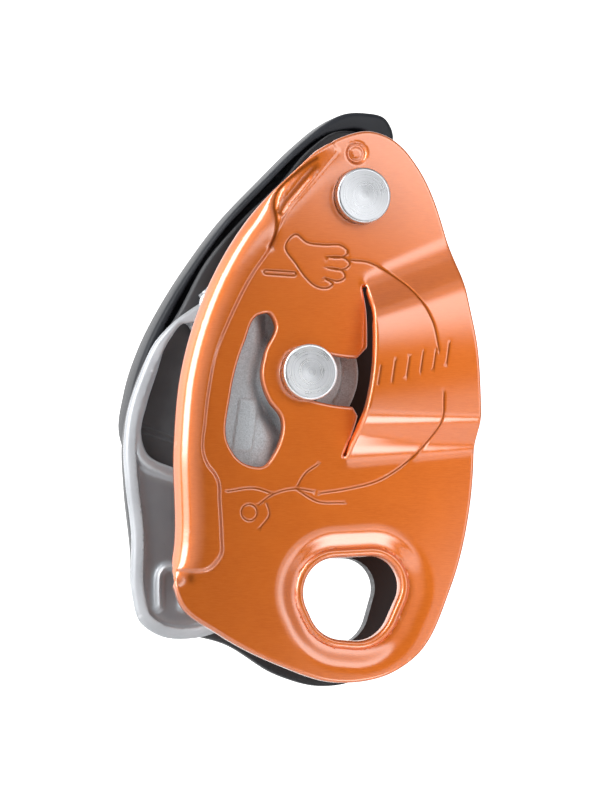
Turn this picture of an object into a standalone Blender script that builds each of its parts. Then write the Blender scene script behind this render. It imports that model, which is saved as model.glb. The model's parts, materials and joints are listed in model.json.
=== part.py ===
"""Assisted-braking rope device: two side plates, an eccentric cam and a folding release handle.

Frame: X to the right and +Z up as the front plate is seen, Y from the front plate to the handle.
The origin is the centre of the attachment hole, midway between the two side plates.
"""
import math

import bmesh
import bpy
import numpy as np
from mathutils.geometry import delaunay_2d_cdt

MM = 0.001

# Depths of the stack, front (negative Y) to back, in millimetres
PLATE_FRONT = -9.5
PLATE_THICK = 2.0
HEAD_FRONT = -12.2
HEAD_BACK = -9.8
CAM_FRONT = -6.4
CAM_STEP = -4.0
CAM_BACK = 5.0
LINER_FRONT = 5.3
LINER_BACK = 6.7
FIXED_FRONT = 7.0
FIXED_BACK = 9.5
FLUSH_END = 9.7
GRIP_FRONT = 10.0
GRIP_INNER = 16.4
GRIP_BACK = 18.0

# Joint axes, all along Y, as (x, z)
TOP_AXLE = (1.6, 73.2)
CAM_AXLE = (-8.6, 40.7)

# Axles and heads
HEAD_R = 5.1
TOP_SHANK_R = 3.0
CAM_SHANK_R = 3.9
RUNNING_GAP = 0.3

# Front plate: flange, bridge and dish
FLANGE_WIDTH = 6.0
FLANGE_DEPTH = 4.9
BRIDGE_HEIGHT = 5.0
SLOT_HALF_WIDTH = 4.4
AXLE_REACH = math.hypot(CAM_AXLE[0] - TOP_AXLE[0], CAM_AXLE[1] - TOP_AXLE[1])
SLOT_INNER_R = AXLE_REACH - SLOT_HALF_WIDTH
SLOT_OUTER_R = AXLE_REACH + SLOT_HALF_WIDTH
DISH_WIDTH = 4.6
DISH_DEPTH = 1.5

# Release pin in the cam, the slot that it moves in, and the handle's lug
RELEASE_R = 10.6
RELEASE_PIN_R = 1.25
RELEASE_ANGLE = -60.0
CAM_TRAVEL = 22.0
LUG_ANGLE = 160.0
LUG_HALF_WIDTH = 10.0
LUG_TIP_R = 12.2


# ---------------------------------------------------------------- materials

def material(name, colour, roughness, metallic):
    """One Principled material with a plain colour."""
    mat = bpy.data.materials.new(name)
    mat.use_nodes = True
    shader = mat.node_tree.nodes["Principled BSDF"]
    shader.inputs["Base Color"].default_value = (*colour, 1.0)
    shader.inputs["Roughness"].default_value = roughness
    shader.inputs["Metallic"].default_value = metallic
    return mat


def orange_anodised():
    return material("orange_anodised", (0.78, 0.20, 0.035), 0.32, 0.9)


def dark_anodised():
    return material("dark_anodised", (0.03, 0.032, 0.04), 0.4, 0.8)


def satin_steel():
    return material("satin_steel", (0.55, 0.56, 0.58), 0.33, 1.0)


def cast_steel():
    return material("cast_steel", (0.33, 0.34, 0.35), 0.55, 0.9)


def turned_steel():
    return material("turned_steel", (0.62, 0.63, 0.66), 0.28, 1.0)


def bronze():
    return material("bronze", (0.55, 0.36, 0.16), 0.4, 1.0)


def spring_steel():
    return material("spring_steel", (0.45, 0.46, 0.48), 0.3, 1.0)


def black_nylon():
    return material("black_nylon", (0.025, 0.028, 0.035), 0.45, 0.0)


# ---------------------------------------------------------------- outlines

def curve_through(points, steps, closed=True):
    """Points on a smooth curve through the given (x, z) points."""
    count = len(points)
    spans = count if closed else count - 1
    out = []
    for i in range(spans):
        if closed:
            ring = [points[(i + k) % count] for k in (-1, 0, 1, 2)]
        else:
            ring = [points[min(max(i + k, 0), count - 1)] for k in (-1, 0, 1, 2)]
        p0, p1, p2, p3 = [np.array(p, float) for p in ring]
        for step in range(steps):
            t = step / steps
            out.append(tuple(0.5 * (2 * p1 + (p2 - p0) * t
                                    + (2 * p0 - 5 * p1 + 4 * p2 - p3) * t * t
                                    + (3 * p1 - p0 - 3 * p2 + p3) * t ** 3)))
    if not closed:
        out.append(tuple(float(v) for v in points[-1]))
    return out


def circle(centre, radius, segments):
    """A closed ring of points."""
    turns = [2 * math.pi * i / segments for i in range(segments)]
    return [(centre[0] + radius * math.cos(a), centre[1] + radius * math.sin(a)) for a in turns]


def arc(centre, radius, start, end, segments):
    """Points on an arc, with angles in degrees from +X towards +Z."""
    turns = [math.radians(start + (end - start) * i / segments) for i in range(segments + 1)]
    return [(centre[0] + radius * math.cos(a), centre[1] + radius * math.sin(a)) for a in turns]


def hull_of_circles(circles, segments):
    """The outline of a band stretched round circles given as (x, z, r)."""
    cloud = []
    for x, z, r in circles:
        cloud += circle((x, z), r, segments)
    cloud = sorted(set((round(x, 5), round(z, 5)) for x, z in cloud))

    def half(points):
        chain = []
        for p in points:
            while len(chain) > 1:
                (ax, az), (bx, bz) = chain[-2:]
                if (bx - ax) * (p[1] - az) - (bz - az) * (p[0] - ax) > 1e-9:
                    break
                chain.pop()
            chain.append(p)
        return chain[:-1]

    return half(cloud) + half(cloud[::-1])


def arc_slot(centre, radius, half_width, start, end, segments=10):
    """A curved slot with round ends, centred on an arc."""
    tip_a = arc(centre, radius, end, end, 1)[0]
    tip_b = arc(centre, radius, start, start, 1)[0]
    out = arc(centre, radius + half_width, start, end, segments)
    out += arc(tip_a, half_width, end, end + 180, 6)[1:-1]
    out += arc(centre, radius - half_width, end, start, segments)
    out += arc(tip_b, half_width, start + 180, start + 360, 6)[1:-1]
    return out


def inside(points, loop):
    """Which of the (n, 2) points lie inside a closed loop."""
    hit = np.zeros(len(points), bool)
    ends = np.array(loop)
    starts = np.roll(ends, 1, axis=0)
    for (ax, az), (bx, bz) in zip(starts, ends):
        if az == bz:
            continue
        crosses = (az > points[:, 1]) != (bz > points[:, 1])
        hit ^= crosses & (points[:, 0] < (bx - ax) * (points[:, 1] - az) / (bz - az) + ax)
    return hit


def distance_to(points, chain, closed=True):
    """Distance from each (n, 2) point to a chain of straight pieces."""
    ends = np.array(chain)
    starts = np.roll(ends, 1, axis=0)
    if not closed:
        starts, ends = ends[:-1], ends[1:]
    best = np.full(len(points), 1e9)
    for a, b in zip(starts, ends):
        run = b - a
        share = np.clip((points - a) @ run / max(run @ run, 1e-12), 0, 1)
        best = np.minimum(best, np.linalg.norm(points - a - share[:, None] * run, axis=1))
    return best


def smooth(value):
    """A soft ramp from 0 to 1."""
    t = np.clip(value, 0, 1)
    return t * t * (3 - 2 * t)


# ---------------------------------------------------------------- solids

def place(name, mesh, mat, axis=None):
    """Link an object, with its origin on a joint axis where it turns on one."""
    obj = bpy.data.objects.new(name, mesh)
    obj.data.materials.append(mat)
    bpy.context.scene.collection.objects.link(obj)
    if axis is not None:
        shift = np.array((axis[0] * MM, 0.0, axis[1] * MM))
        for vert in mesh.vertices:
            vert.co = np.array(vert.co) - shift
        obj.location = shift
    return obj


def new_mesh(name, bm):
    """Turn a bmesh into a mesh with outward faces."""
    bmesh.ops.recalc_face_normals(bm, faces=bm.faces[:])
    mesh = bpy.data.meshes.new(name)
    bm.to_mesh(mesh)
    bm.free()
    return mesh


def flat_triangles(outline, holes, extra=(), rows=()):
    """Triangles of a flat region, using extra points and rows of points inside it."""
    verts = []
    edges = []
    for loop in [outline, *holes]:
        first = len(verts)
        verts += loop
        edges += [(first + i, first + (i + 1) % len(loop)) for i in range(len(loop))]
    for row in rows:
        first = len(verts)
        verts += row
        edges += [(first + i, first + i + 1) for i in range(len(row) - 1)]
    verts += list(extra)
    points, _, tris, _, _, _ = delaunay_2d_cdt([tuple(v) for v in verts], edges, [], 0, 1e-6)
    points = np.array([tuple(p) for p in points])
    centres = np.array([points[list(t)].mean(axis=0) for t in tris])
    keep = inside(centres, outline)
    for hole in holes:
        keep &= ~inside(centres, hole)
    return points, [tuple(t) for t, k in zip(tris, keep) if k]


def prism(name, outline, holes, y0, y1, mat, axis=None, bevel=0.0):
    """A flat outline with holes, extruded from y0 to y1."""
    points, tris = flat_triangles(outline, holes)
    bm = bmesh.new()
    used = sorted({i for t in tris for i in t})
    verts = {i: bm.verts.new((points[i][0] * MM, y0 * MM, points[i][1] * MM)) for i in used}
    faces = [bm.faces.new([verts[i] for i in t]) for t in tris]
    swept = bmesh.ops.extrude_face_region(bm, geom=faces)
    top = [v for v in swept["geom"] if isinstance(v, bmesh.types.BMVert)]
    bmesh.ops.translate(bm, verts=top, vec=(0, (y1 - y0) * MM, 0))
    bmesh.ops.dissolve_limit(bm, angle_limit=math.radians(0.5), verts=bm.verts[:], edges=bm.edges[:])
    obj = place(name, new_mesh(name, bm), mat, axis)
    if bevel:
        edge = obj.modifiers.new("edge", "BEVEL")
        edge.width = bevel * MM
        edge.segments = 1
        edge.limit_method = "ANGLE"
        edge.angle_limit = math.radians(60)
    return obj


def turned(name, centre, profile, mat, axis=None, segments=28, closed=False):
    """A profile of (radius, y) turned about an axis along Y; a closed profile makes a ring."""
    bm = bmesh.new()
    rings = []
    for radius, y in profile:
        if radius == 0:
            rings.append([bm.verts.new((centre[0] * MM, y * MM, centre[1] * MM))])
            continue
        rings.append([bm.verts.new((x * MM, y * MM, z * MM)) for x, z in circle(centre, radius, segments)])
    pairs = list(zip(rings, rings[1:]))
    if closed:
        pairs.append((rings[-1], rings[0]))
    for low, high in pairs:
        for i in range(segments):
            j = (i + 1) % segments
            corners = [low[i % len(low)], low[j % len(low)], high[j % len(high)], high[i % len(high)]]
            bm.faces.new(list(dict.fromkeys(corners)))
    mesh = new_mesh(name, bm)
    mesh.shade_smooth()
    mesh.set_sharp_from_angle(angle=math.radians(35))
    return place(name, mesh, mat, axis)


def ring(name, centre, inner, outer, y0, y1, mat, axis=None, segments=28):
    """A plain washer, bush or sleeve."""
    profile = [(inner, y0), (outer, y0), (outer, y1), (inner, y1)]
    return turned(name, centre, profile, mat, axis, segments, closed=True)


def rivet(name, centre, radius, head, y_tail0, y0, y1, y_tail1, mat, axis=None):
    """A shank from y0 to y1 with a low head at each end."""
    soft = 0.25
    profile = [(0, y_tail0), (head - soft, y_tail0), (head, y_tail0 + soft), (head, y0), (radius, y0),
               (radius, y1), (head, y1), (head, y_tail1 - soft), (head - soft, y_tail1), (0, y_tail1)]
    return turned(name, centre, profile, mat, axis, segments=20)


def coil(name, centre, radius, wire, y0, y1, turns, start, mat, legs, axis=None):
    """A torsion spring: a helix with a straight leg at each end."""
    per_turn = 16
    count = int(turns * per_turn)
    path = []
    for i in range(count + 1):
        angle = math.radians(start) + 2 * math.pi * turns * i / count
        height = y0 + wire + (y1 - y0 - 2 * wire) * i / count
        path.append((centre[0] + radius * math.cos(angle), height, centre[1] + radius * math.sin(angle)))
    for at_end, length in zip((False, True), legs):
        tip, after = (path[-1], path[-2]) if at_end else (path[0], path[1])
        run = np.array(tip) - np.array(after)
        point = np.array(tip) + run / np.linalg.norm(run) * length
        path = path + [tuple(point)] if at_end else [tuple(point)] + path
    data = bpy.data.curves.new(name, "CURVE")
    data.dimensions = "3D"
    data.bevel_depth = wire * MM
    data.bevel_resolution = 1
    data.use_fill_caps = True
    spline = data.splines.new("POLY")
    spline.points.add(len(path) - 1)
    origin = axis if axis is not None else (0.0, 0.0)
    for point, (x, y, z) in zip(spline.points, path):
        point.co = ((x - origin[0]) * MM, y * MM, (z - origin[1]) * MM, 1.0)
    obj = bpy.data.objects.new(name, data)
    obj.location = (origin[0] * MM, 0.0, origin[1] * MM)
    data.materials.append(mat)
    bpy.context.scene.collection.objects.link(obj)
    return obj


def boolean(obj, cutter, operation):
    """Join or cut with another solid, which stays as a hidden wire guide."""
    mod = obj.modifiers.new(operation.lower(), "BOOLEAN")
    mod.operation = operation
    mod.solver = "EXACT"
    mod.object = cutter
    cutter.hide_render = True
    cutter.display_type = "WIRE"


# ---------------------------------------------------------------- front plate

PLATE_RIGHT = [(3.5, 85.4), (7.6, 84.3), (10.1, 82.5), (12.4, 79.8), (18.9, 64.4), (21.4, 52.8),
               (22.7, 46.0), (23.4, 37.7), (23.7, 28.5), (23.0, 17.8), (19.1, 1.9), (12.2, -10.8),
               (7.2, -13.9), (2.3, -15.2), (-3.0, -15.4), (-13.6, -12.3), (-25.1, -6.7), (-32.0, -1.6)]
PLATE_LEFT = [(-33.4, 3.6), (-32.8, 10.0), (-33.0, 27.0), (-31.6, 41.0), (-28.6, 51.5), (-22.0, 64.8),
              (-12.6, 76.2), (-6.1, 81.7), (-1.0, 84.4)]
WINDOW = [(-15.5, 51.3), (-14.4, 49.6), (-16.3, 44.3), (-17.0, 40.0), (-15.6, 35.6), (-13.2, 32.4),
          (-14.2, 26.6), (-16.6, 23.7), (-20.8, 24.4), (-23.2, 27.4), (-22.9, 36.0), (-20.2, 46.0),
          (-17.6, 51.0)]
ATTACH_HOLE = [(-2.4, 0.8, 6.4), (4.2, 2.2, 5.4), (1.2, -1.0, 6.8), (-1.4, -1.1, 6.5)]
REAR_HOLE = [(-2.9, 1.0, 6.6), (4.2, 2.2, 5.5), (1.8, -1.7, 6.7), (-1.6, -1.1, 6.6)]
SLIT_LINE = [(2.4, 55.6), (3.2, 50.0), (3.3, 45.0), (2.6, 38.0), (0.8, 31.0), (-1.2, 25.8)]
SLIT_WIDTH = 0.7
BRIDGE_LINES = (((2.5, 57.6), (18.2, 64.1)), ((4.0, 52.0), (20.0, 57.5)),
                ((1.1, 32.4), (22.4, 32.4)), ((-1.1, 25.0), (23.2, 27.6)))


def slit_side(points):
    """How far each point lies to the right of the bridge's sheared left edge."""
    heights = [z for _, z in SLIT_LINE][::-1]
    edges = [x for x, _ in SLIT_LINE][::-1]
    return points[:, 0] - np.interp(points[:, 1], heights, edges)


def bridge_rise(points):
    """Height of the bridge over the flat plate."""
    levels = []
    for (ax, az), (bx, bz) in BRIDGE_LINES:
        levels.append(az + (points[:, 0] - ax) * (bz - az) / (bx - ax))
    rise = smooth((levels[0] - points[:, 1]) / (levels[0] - levels[1]))
    fall = smooth((points[:, 1] - levels[3]) / (levels[2] - levels[3]))
    return BRIDGE_HEIGHT * np.minimum(rise, fall) * (slit_side(points) > 0)


def flange_roll(points, flange):
    """How far the rolled left flange has curled back."""
    reach = distance_to(points, flange, closed=False)
    share = np.clip(1 - reach / FLANGE_WIDTH, 0, 1)
    fade = smooth((82 - points[:, 1]) / 14) * smooth((points[:, 1] - 1.5) / 5)
    return FLANGE_DEPTH * fade * (1 - np.sqrt(np.clip(1 - share ** 2, 0, 1)))


def slit_outline():
    """The notch that lets the cam axle in, with the slits along the bridge's edge."""
    half = SLIT_WIDTH / 2
    slit = curve_through(SLIT_LINE, 3, closed=False)
    right = [(x + half, z) for x, z in slit]
    left = [(x - half, z) for x, z in slit]
    drop = np.array([math.hypot(x - TOP_AXLE[0], z - TOP_AXLE[1]) for x, z in left])
    upper = [p for p, d in zip(left, drop) if d < SLOT_INNER_R - 1.0]
    lower = [p for p, d in zip(left, drop) if d > SLOT_OUTER_R + 1.0]
    seat = math.degrees(math.atan2(CAM_AXLE[1] - TOP_AXLE[1], CAM_AXLE[0] - TOP_AXLE[0]))
    outer = arc(TOP_AXLE, SLOT_OUTER_R, -92.0, seat, 4)
    inner = arc(TOP_AXLE, SLOT_INNER_R, seat, -89.0, 4)
    closed_end = arc(CAM_AXLE, SLOT_HALF_WIDTH, seat, seat - 180, 8)[1:-1]
    return right + lower[::-1] + outer + closed_end + inner + upper[::-1]


def front_plate():
    """The pressed front plate that swings open, one sheet with flange, bridge and dish."""
    right = curve_through(PLATE_RIGHT, 3, closed=False)
    left = curve_through(PLATE_LEFT, 4, closed=False)
    outline = right + left
    holes = [hull_of_circles(ATTACH_HOLE, 24), curve_through(WINDOW, 2), slit_outline(),
             circle(TOP_AXLE, 4.6, 20)]
    hole_ring = np.array(holes[0])
    grid = []
    spacing = 3.2
    for row in range(-6, 34):
        for col in range(-12, 10):
            grid.append(((col + 0.5 * (row % 2)) * spacing, row * spacing * 0.87))
    roll = [math.radians(a) for a in (22, 44, 64, 80)]
    for angle in roll:
        inset = FLANGE_WIDTH * (1 - math.sin(angle))
        grid += [(x + inset * nx, z + inset * nz) for (x, z), (nx, nz) in inward(left)]
    for (ax, az), (bx, bz) in BRIDGE_LINES:
        for i in range(9):
            share = i / 8
            grid.append((ax + 1.5 + (bx - ax - 2.2) * share, az + (bz - az) * share))
    for offset in (0.25, 0.6, 1.0):
        swell = 1 + offset * DISH_WIDTH / 8.5
        grid += [tuple(p) for p in hole_ring[::2] * swell]
    grid = np.array(grid)
    keep = inside(grid, outline)
    for hole in holes:
        keep &= ~inside(grid, hole)
    clear = distance_to(grid, outline)
    near_left = distance_to(grid, left, closed=False) < FLANGE_WIDTH
    keep &= (clear > 1.2) | (near_left & (clear > 0.05))
    for hole in holes:
        keep &= distance_to(grid, hole) > 0.7
    points, tris = flat_triangles(outline, holes, thin_out(grid[keep], 0.9, left))
    dish = smooth(1 - distance_to(points, holes[0]) / DISH_WIDTH) * DISH_DEPTH
    depth = PLATE_FRONT - bridge_rise(points) + flange_roll(points, left) + dish
    bm = bmesh.new()
    used = sorted({i for t in tris for i in t})
    verts = {i: bm.verts.new((points[i][0] * MM, depth[i] * MM, points[i][1] * MM)) for i in used}
    for tri in tris:
        face = bm.faces.new([verts[i] for i in tri])
        face.normal_update()
        if face.normal.y > 0:
            face.normal_flip()
    mesh = bpy.data.meshes.new("moving_side_plate")
    bm.to_mesh(mesh)
    bm.free()
    mesh.shade_smooth()
    obj = place("moving_side_plate", mesh, orange_anodised(), TOP_AXLE)
    sheet = obj.modifiers.new("sheet", "SOLIDIFY")
    sheet.thickness = PLATE_THICK * MM
    sheet.offset = -1
    return obj


def inward(chain):
    """Each point of the left edge with the direction into the plate."""
    pairs = []
    for i, point in enumerate(chain):
        before = chain[max(i - 1, 0)]
        after = chain[min(i + 1, len(chain) - 1)]
        run = np.array(after) - np.array(before)
        run = run / np.linalg.norm(run)
        pairs.append((point, (run[1], -run[0])))
    return pairs


def thin_out(points, spacing, left):
    """Drop points closer than the spacing, except in the rolled flange."""
    kept = []
    rolled = distance_to(points, left, closed=False) < FLANGE_WIDTH * 0.35
    for point, fixed in zip(points, rolled):
        if fixed or all(math.dist(point, other) > spacing for other in kept):
            kept.append(tuple(point))
    return kept


def front_bush():
    ring("side_plate_bush", TOP_AXLE, 3.3, 4.3, -9.4, -7.2, bronze(), TOP_AXLE)


# ---------------------------------------------------------------- fixed frame

FIXED_OUTLINE = [(-28.6, 51.5), (-22.4, 62.5), (-16.4, 69.6), (-8.4, 77.4), (-2.2, 84.3), (2.6, 87.4),
                 (7.6, 87.0), (12.2, 80.0), (17.0, 66.0), (20.6, 52.0), (22.0, 38.0), (21.4, 20.0),
                 (17.0, 2.0), (12.0, -9.6), (5.7, -15.0), (-0.2, -16.0), (-8.8, -14.0), (-19.2, -8.2),
                 (-27.0, -6.3), (-34.0, -4.2), (-36.5, 1.2), (-36.8, 8.0), (-38.1, 20.0), (-38.4, 29.0),
                 (-36.6, 37.5), (-33.6, 44.6)]
LINER_OUTLINE = [(-24.6, 54.6), (-29.6, 51.0), (-33.2, 47.2), (-36.3, 40.8), (-38.6, 33.8), (-39.3, 27.0),
                 (-38.9, 21.0), (-37.8, 12.0), (-37.5, 0.0), (-36.2, -4.3), (-32.2, -7.1), (-26.0, -7.6),
                 (-20.8, -6.2), (-16.2, -2.2), (-14.4, 6.0), (-13.4, 15.0), (-15.4, 23.0), (-21.0, 28.2),
                 (-24.0, 35.0), (-24.0, 45.0), (-21.8, 50.6), (-19.4, 54.6), (-21.2, 57.0)]
LINER_WINDOW = [(-27.0, 50.4), (-30.4, 47.0), (-32.7, 41.0), (-34.6, 35.0), (-35.6, 30.0), (-34.4, 26.4),
                (-31.0, 24.6), (-27.4, 24.0), (-26.4, 28.0), (-26.0, 40.0), (-25.6, 48.4)]
LIP_R = 1.4
LIP_ROUTE = [(-29.2, 50.4), (-35.2, 40.4), (-37.9, 27.0), (-36.4, 12.0), (-36.1, 0.4), (-34.8, -3.2),
             (-31.5, -5.6), (-26.0, -6.2), (-21.4, -5.2)]
RIVET_SPOTS = [(-22.3, 54.2), (-18.4, 14.4), (-20.0, 0.6)]
RIVET_R = 1.5
PIN_R = 0.5
SPRING_PIN_ANGLE = 150.0
SPRING_PIN_REACH = 8.0
GRIP_PIN_ANGLE = 20.0
GRIP_PIN_REACH = 9.6


def around(centre, radius, angle):
    """A point at a radius and angle from a centre."""
    return arc(centre, radius, angle, angle, 1)[0]


def release_slot():
    """The arc that the cam's release pin sweeps, in the fixed plate and the guide disc."""
    return arc_slot(CAM_AXLE, RELEASE_R, RELEASE_PIN_R + RUNNING_GAP,
                    RELEASE_ANGLE - CAM_TRAVEL - 1.5, RELEASE_ANGLE + 1.5)


def fixed_plate():
    """The flat back plate that carries both axles."""
    holes = [hull_of_circles(REAR_HOLE, 24), circle(TOP_AXLE, TOP_SHANK_R + RUNNING_GAP, 20),
             circle(CAM_AXLE, CAM_SHANK_R + RUNNING_GAP, 20), release_slot(),
             circle(around(CAM_AXLE, SPRING_PIN_REACH, SPRING_PIN_ANGLE), PIN_R + RUNNING_GAP, 12),
             circle(around(CAM_AXLE, GRIP_PIN_REACH, GRIP_PIN_ANGLE), PIN_R + RUNNING_GAP, 12)]
    holes += [circle(spot, RIVET_R + RUNNING_GAP, 14) for spot in RIVET_SPOTS]
    outline = curve_through(FIXED_OUTLINE, 3)
    prism("fixed_side_plate", outline, holes, FIXED_FRONT, FIXED_BACK, dark_anodised(), bevel=0.35)


def friction_plate():
    """The steel liner that the braked rope runs over, with a rounded lip on its outer edge."""
    holes = [curve_through(LINER_WINDOW, 2)]
    holes += [circle(spot, RIVET_R + RUNNING_GAP, 14) for spot in RIVET_SPOTS]
    steel = satin_steel()
    liner = prism("friction_plate", curve_through(LINER_OUTLINE, 2), holes, LINER_FRONT, LINER_BACK, steel)
    route = curve_through(LIP_ROUTE, 4, closed=False)
    data = bpy.data.curves.new("lip_guide", "CURVE")
    data.dimensions = "3D"
    data.bevel_depth = LIP_R * MM
    data.bevel_resolution = 2
    data.use_fill_caps = True
    spline = data.splines.new("POLY")
    spline.points.add(len(route) - 1)
    for point, (x, z) in zip(spline.points, route):
        point.co = (x * MM, (LINER_BACK - LIP_R) * MM, z * MM, 1.0)
    curve = bpy.data.objects.new("lip_curve", data)
    lip = bpy.data.objects.new("lip_guide", bpy.data.meshes.new_from_object(curve))
    bpy.data.objects.remove(curve)
    bpy.context.scene.collection.objects.link(lip)
    boolean(liner, lip, "UNION")


def headed_axle(name, centre, shank, tail):
    """An axle with a turned head in front of the moving plate."""
    profile = [(0, HEAD_FRONT), (HEAD_R - 1.0, HEAD_FRONT), (HEAD_R, HEAD_FRONT + 0.6), (HEAD_R, HEAD_BACK),
               (shank, HEAD_BACK), *tail]
    turned(name, centre, profile, turned_steel(), segments=32)


def axles():
    headed_axle("side_plate_axle", TOP_AXLE, TOP_SHANK_R, [(TOP_SHANK_R, FLUSH_END), (0, FLUSH_END)])
    rear = [(CAM_SHANK_R, 17.5), (5.2, 17.5), (5.2, 18.2), (4.7, 18.7), (0, 18.7)]
    headed_axle("cam_axle", CAM_AXLE, CAM_SHANK_R, rear)
    steel = satin_steel()
    ring("axle_spring_washer", TOP_AXLE, 3.4, 6.4, -7.15, -6.75, spring_steel())
    ring("axle_spacer_sleeve", TOP_AXLE, 3.4, 5.0, -6.4, LINER_BACK, steel)
    ring("handle_retaining_washer", CAM_AXLE, 4.3, 7.4, 16.4, 17.2, steel)
    ring("handle_thrust_washer", CAM_AXLE, 4.3, 6.6, 9.8, 10.2, bronze())


def small_frame_pieces():
    """The guide disc behind the cam, the rivets and the two spring pins."""
    holes = [circle(CAM_AXLE, CAM_SHANK_R + RUNNING_GAP, 20), release_slot(),
             circle(around(CAM_AXLE, SPRING_PIN_REACH, SPRING_PIN_ANGLE), PIN_R + RUNNING_GAP, 12)]
    prism("rope_guide_disc", circle(CAM_AXLE, 13.8, 40), holes, LINER_FRONT, LINER_BACK, dark_anodised())
    for number, spot in enumerate(RIVET_SPOTS, 1):
        profile = [(0, 4.2), (1.9, 4.2), (2.5, 4.7), (2.5, 5.0), (RIVET_R, 5.0), (RIVET_R, FLUSH_END),
                   (0, FLUSH_END)]
        turned(f"friction_plate_rivet_{number}", spot, profile, turned_steel(), segments=16)
    for name, radius, angle, y0, y1 in (("cam_spring_pin", SPRING_PIN_REACH, SPRING_PIN_ANGLE, 3.2, 9.4),
                                        ("handle_spring_pin", GRIP_PIN_REACH, GRIP_PIN_ANGLE, 7.1, 14.0)):
        profile = [(0, y0), (PIN_R, y0), (PIN_R, y1), (0, y1)]
        turned(name, around(CAM_AXLE, radius, angle), profile, satin_steel(), segments=12)


# ---------------------------------------------------------------- cam

CAM_FACE = [(-16.6, 54.4), (-21.4, 48.4), (-24.2, 40.0), (-25.2, 31.0), (-23.6, 24.4), (-19.4, 21.2),
            (-13.0, 21.6), (-8.6, 27.0), (-4.0, 33.6), (-0.7, 38.6), (-0.6, 43.6), (-4.0, 48.6), (-10.0, 53.4)]
CAM_SEAT = [(-16.8, 55.0), (-21.8, 48.6), (-24.8, 40.0), (-25.8, 31.0), (-24.1, 23.9), (-19.4, 20.6),
            (-12.4, 20.8), (-5.4, 27.6), (0.6, 33.6), (3.2, 40.4), (1.4, 47.6), (-4.0, 52.4), (-10.4, 55.0)]
POCKET_R = 8.8


def cam_pieces():
    """The cast cam with its rope seat, its bush and the pin that the handle drives."""
    cast = cast_steel()
    cam = prism("cam", curve_through(CAM_SEAT, 3), [], CAM_STEP, CAM_BACK, cast, CAM_AXLE)
    face = prism("cam_face_guide", curve_through(CAM_FACE, 3), [], CAM_FRONT, CAM_STEP + 1.0, cast)
    boolean(cam, face, "UNION")
    bore = prism("cam_bore_guide", circle(CAM_AXLE, 5.5, 20), [], CAM_FRONT - 1.0, CAM_BACK + 1.0, cast)
    boolean(cam, bore, "DIFFERENCE")
    pocket = prism("cam_pocket_guide", circle(CAM_AXLE, POCKET_R, 24), [circle(CAM_AXLE, 5.9, 20)],
                   2.0, CAM_BACK + 1.0, cast)
    boolean(cam, pocket, "DIFFERENCE")
    pin_spot = around(CAM_AXLE, RELEASE_R, RELEASE_ANGLE)
    hole = prism("cam_pin_guide", circle(pin_spot, RELEASE_PIN_R + RUNNING_GAP, 14), [],
                 -1.0, CAM_BACK + 1.0, cast)
    boolean(cam, hole, "DIFFERENCE")
    ring("cam_bush", CAM_AXLE, CAM_SHANK_R + RUNNING_GAP, 5.2, CAM_FRONT + 0.1, CAM_BACK - 0.1, bronze(), CAM_AXLE)
    profile = [(0, -0.6), (RELEASE_PIN_R, -0.6), (RELEASE_PIN_R, 11.6), (RELEASE_PIN_R - 0.3, 11.9), (0, 11.9)]
    turned("cam_release_pin", pin_spot, profile, turned_steel(), CAM_AXLE, segments=14)
    coil("cam_return_spring", CAM_AXLE, 6.75, 0.4, 2.3, 4.8, 1.7, 160.0, spring_steel(), (0.3, 0.3), CAM_AXLE)


# ---------------------------------------------------------------- handle

GRIP_OUTLINE = [(14.5, 88.5), (13.1, 90.7), (9.0, 91.6), (4.9, 91.2), (1.0, 89.1), (-2.7, 86.1),
                (-10.5, 78.5), (-18.3, 70.3), (-24.1, 62.6), (-29.1, 54.9), (-33.4, 46.6), (-36.2, 38.0),
                (-36.9, 30.0), (-35.8, 27.2), (-31.0, 25.6), (-22.0, 27.0), (-14.4, 25.4), (-7.0, 24.6),
                (1.6, 28.4), (6.4, 35.4), (7.4, 44.0), (6.4, 53.0), (8.2, 66.0), (12.4, 80.0)]
GRIP_HOLLOW = [(11.2, 86.6), (8.4, 88.3), (4.2, 88.0), (0.0, 86.4), (-3.9, 83.4), (-11.5, 75.8),
               (-19.2, 67.5), (-24.4, 60.0), (-28.8, 52.2), (-32.1, 44.8), (-34.6, 37.0), (-35.2, 31.0),
               (-34.0, 28.6), (-30.6, 27.6), (-22.0, 28.8), (-14.4, 27.2), (-7.4, 26.4), (0.4, 29.8),
               (4.7, 36.2), (5.6, 44.0), (4.6, 53.0), (6.4, 66.4), (10.4, 80.4)]
ARM_CIRCLES = [(CAM_AXLE[0], CAM_AXLE[1], 9.0), (-15.0, 62.0, 5.2)]
ARM_RIVETS = [(-12.4, 54.4), (-15.2, 62.0)]


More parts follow.
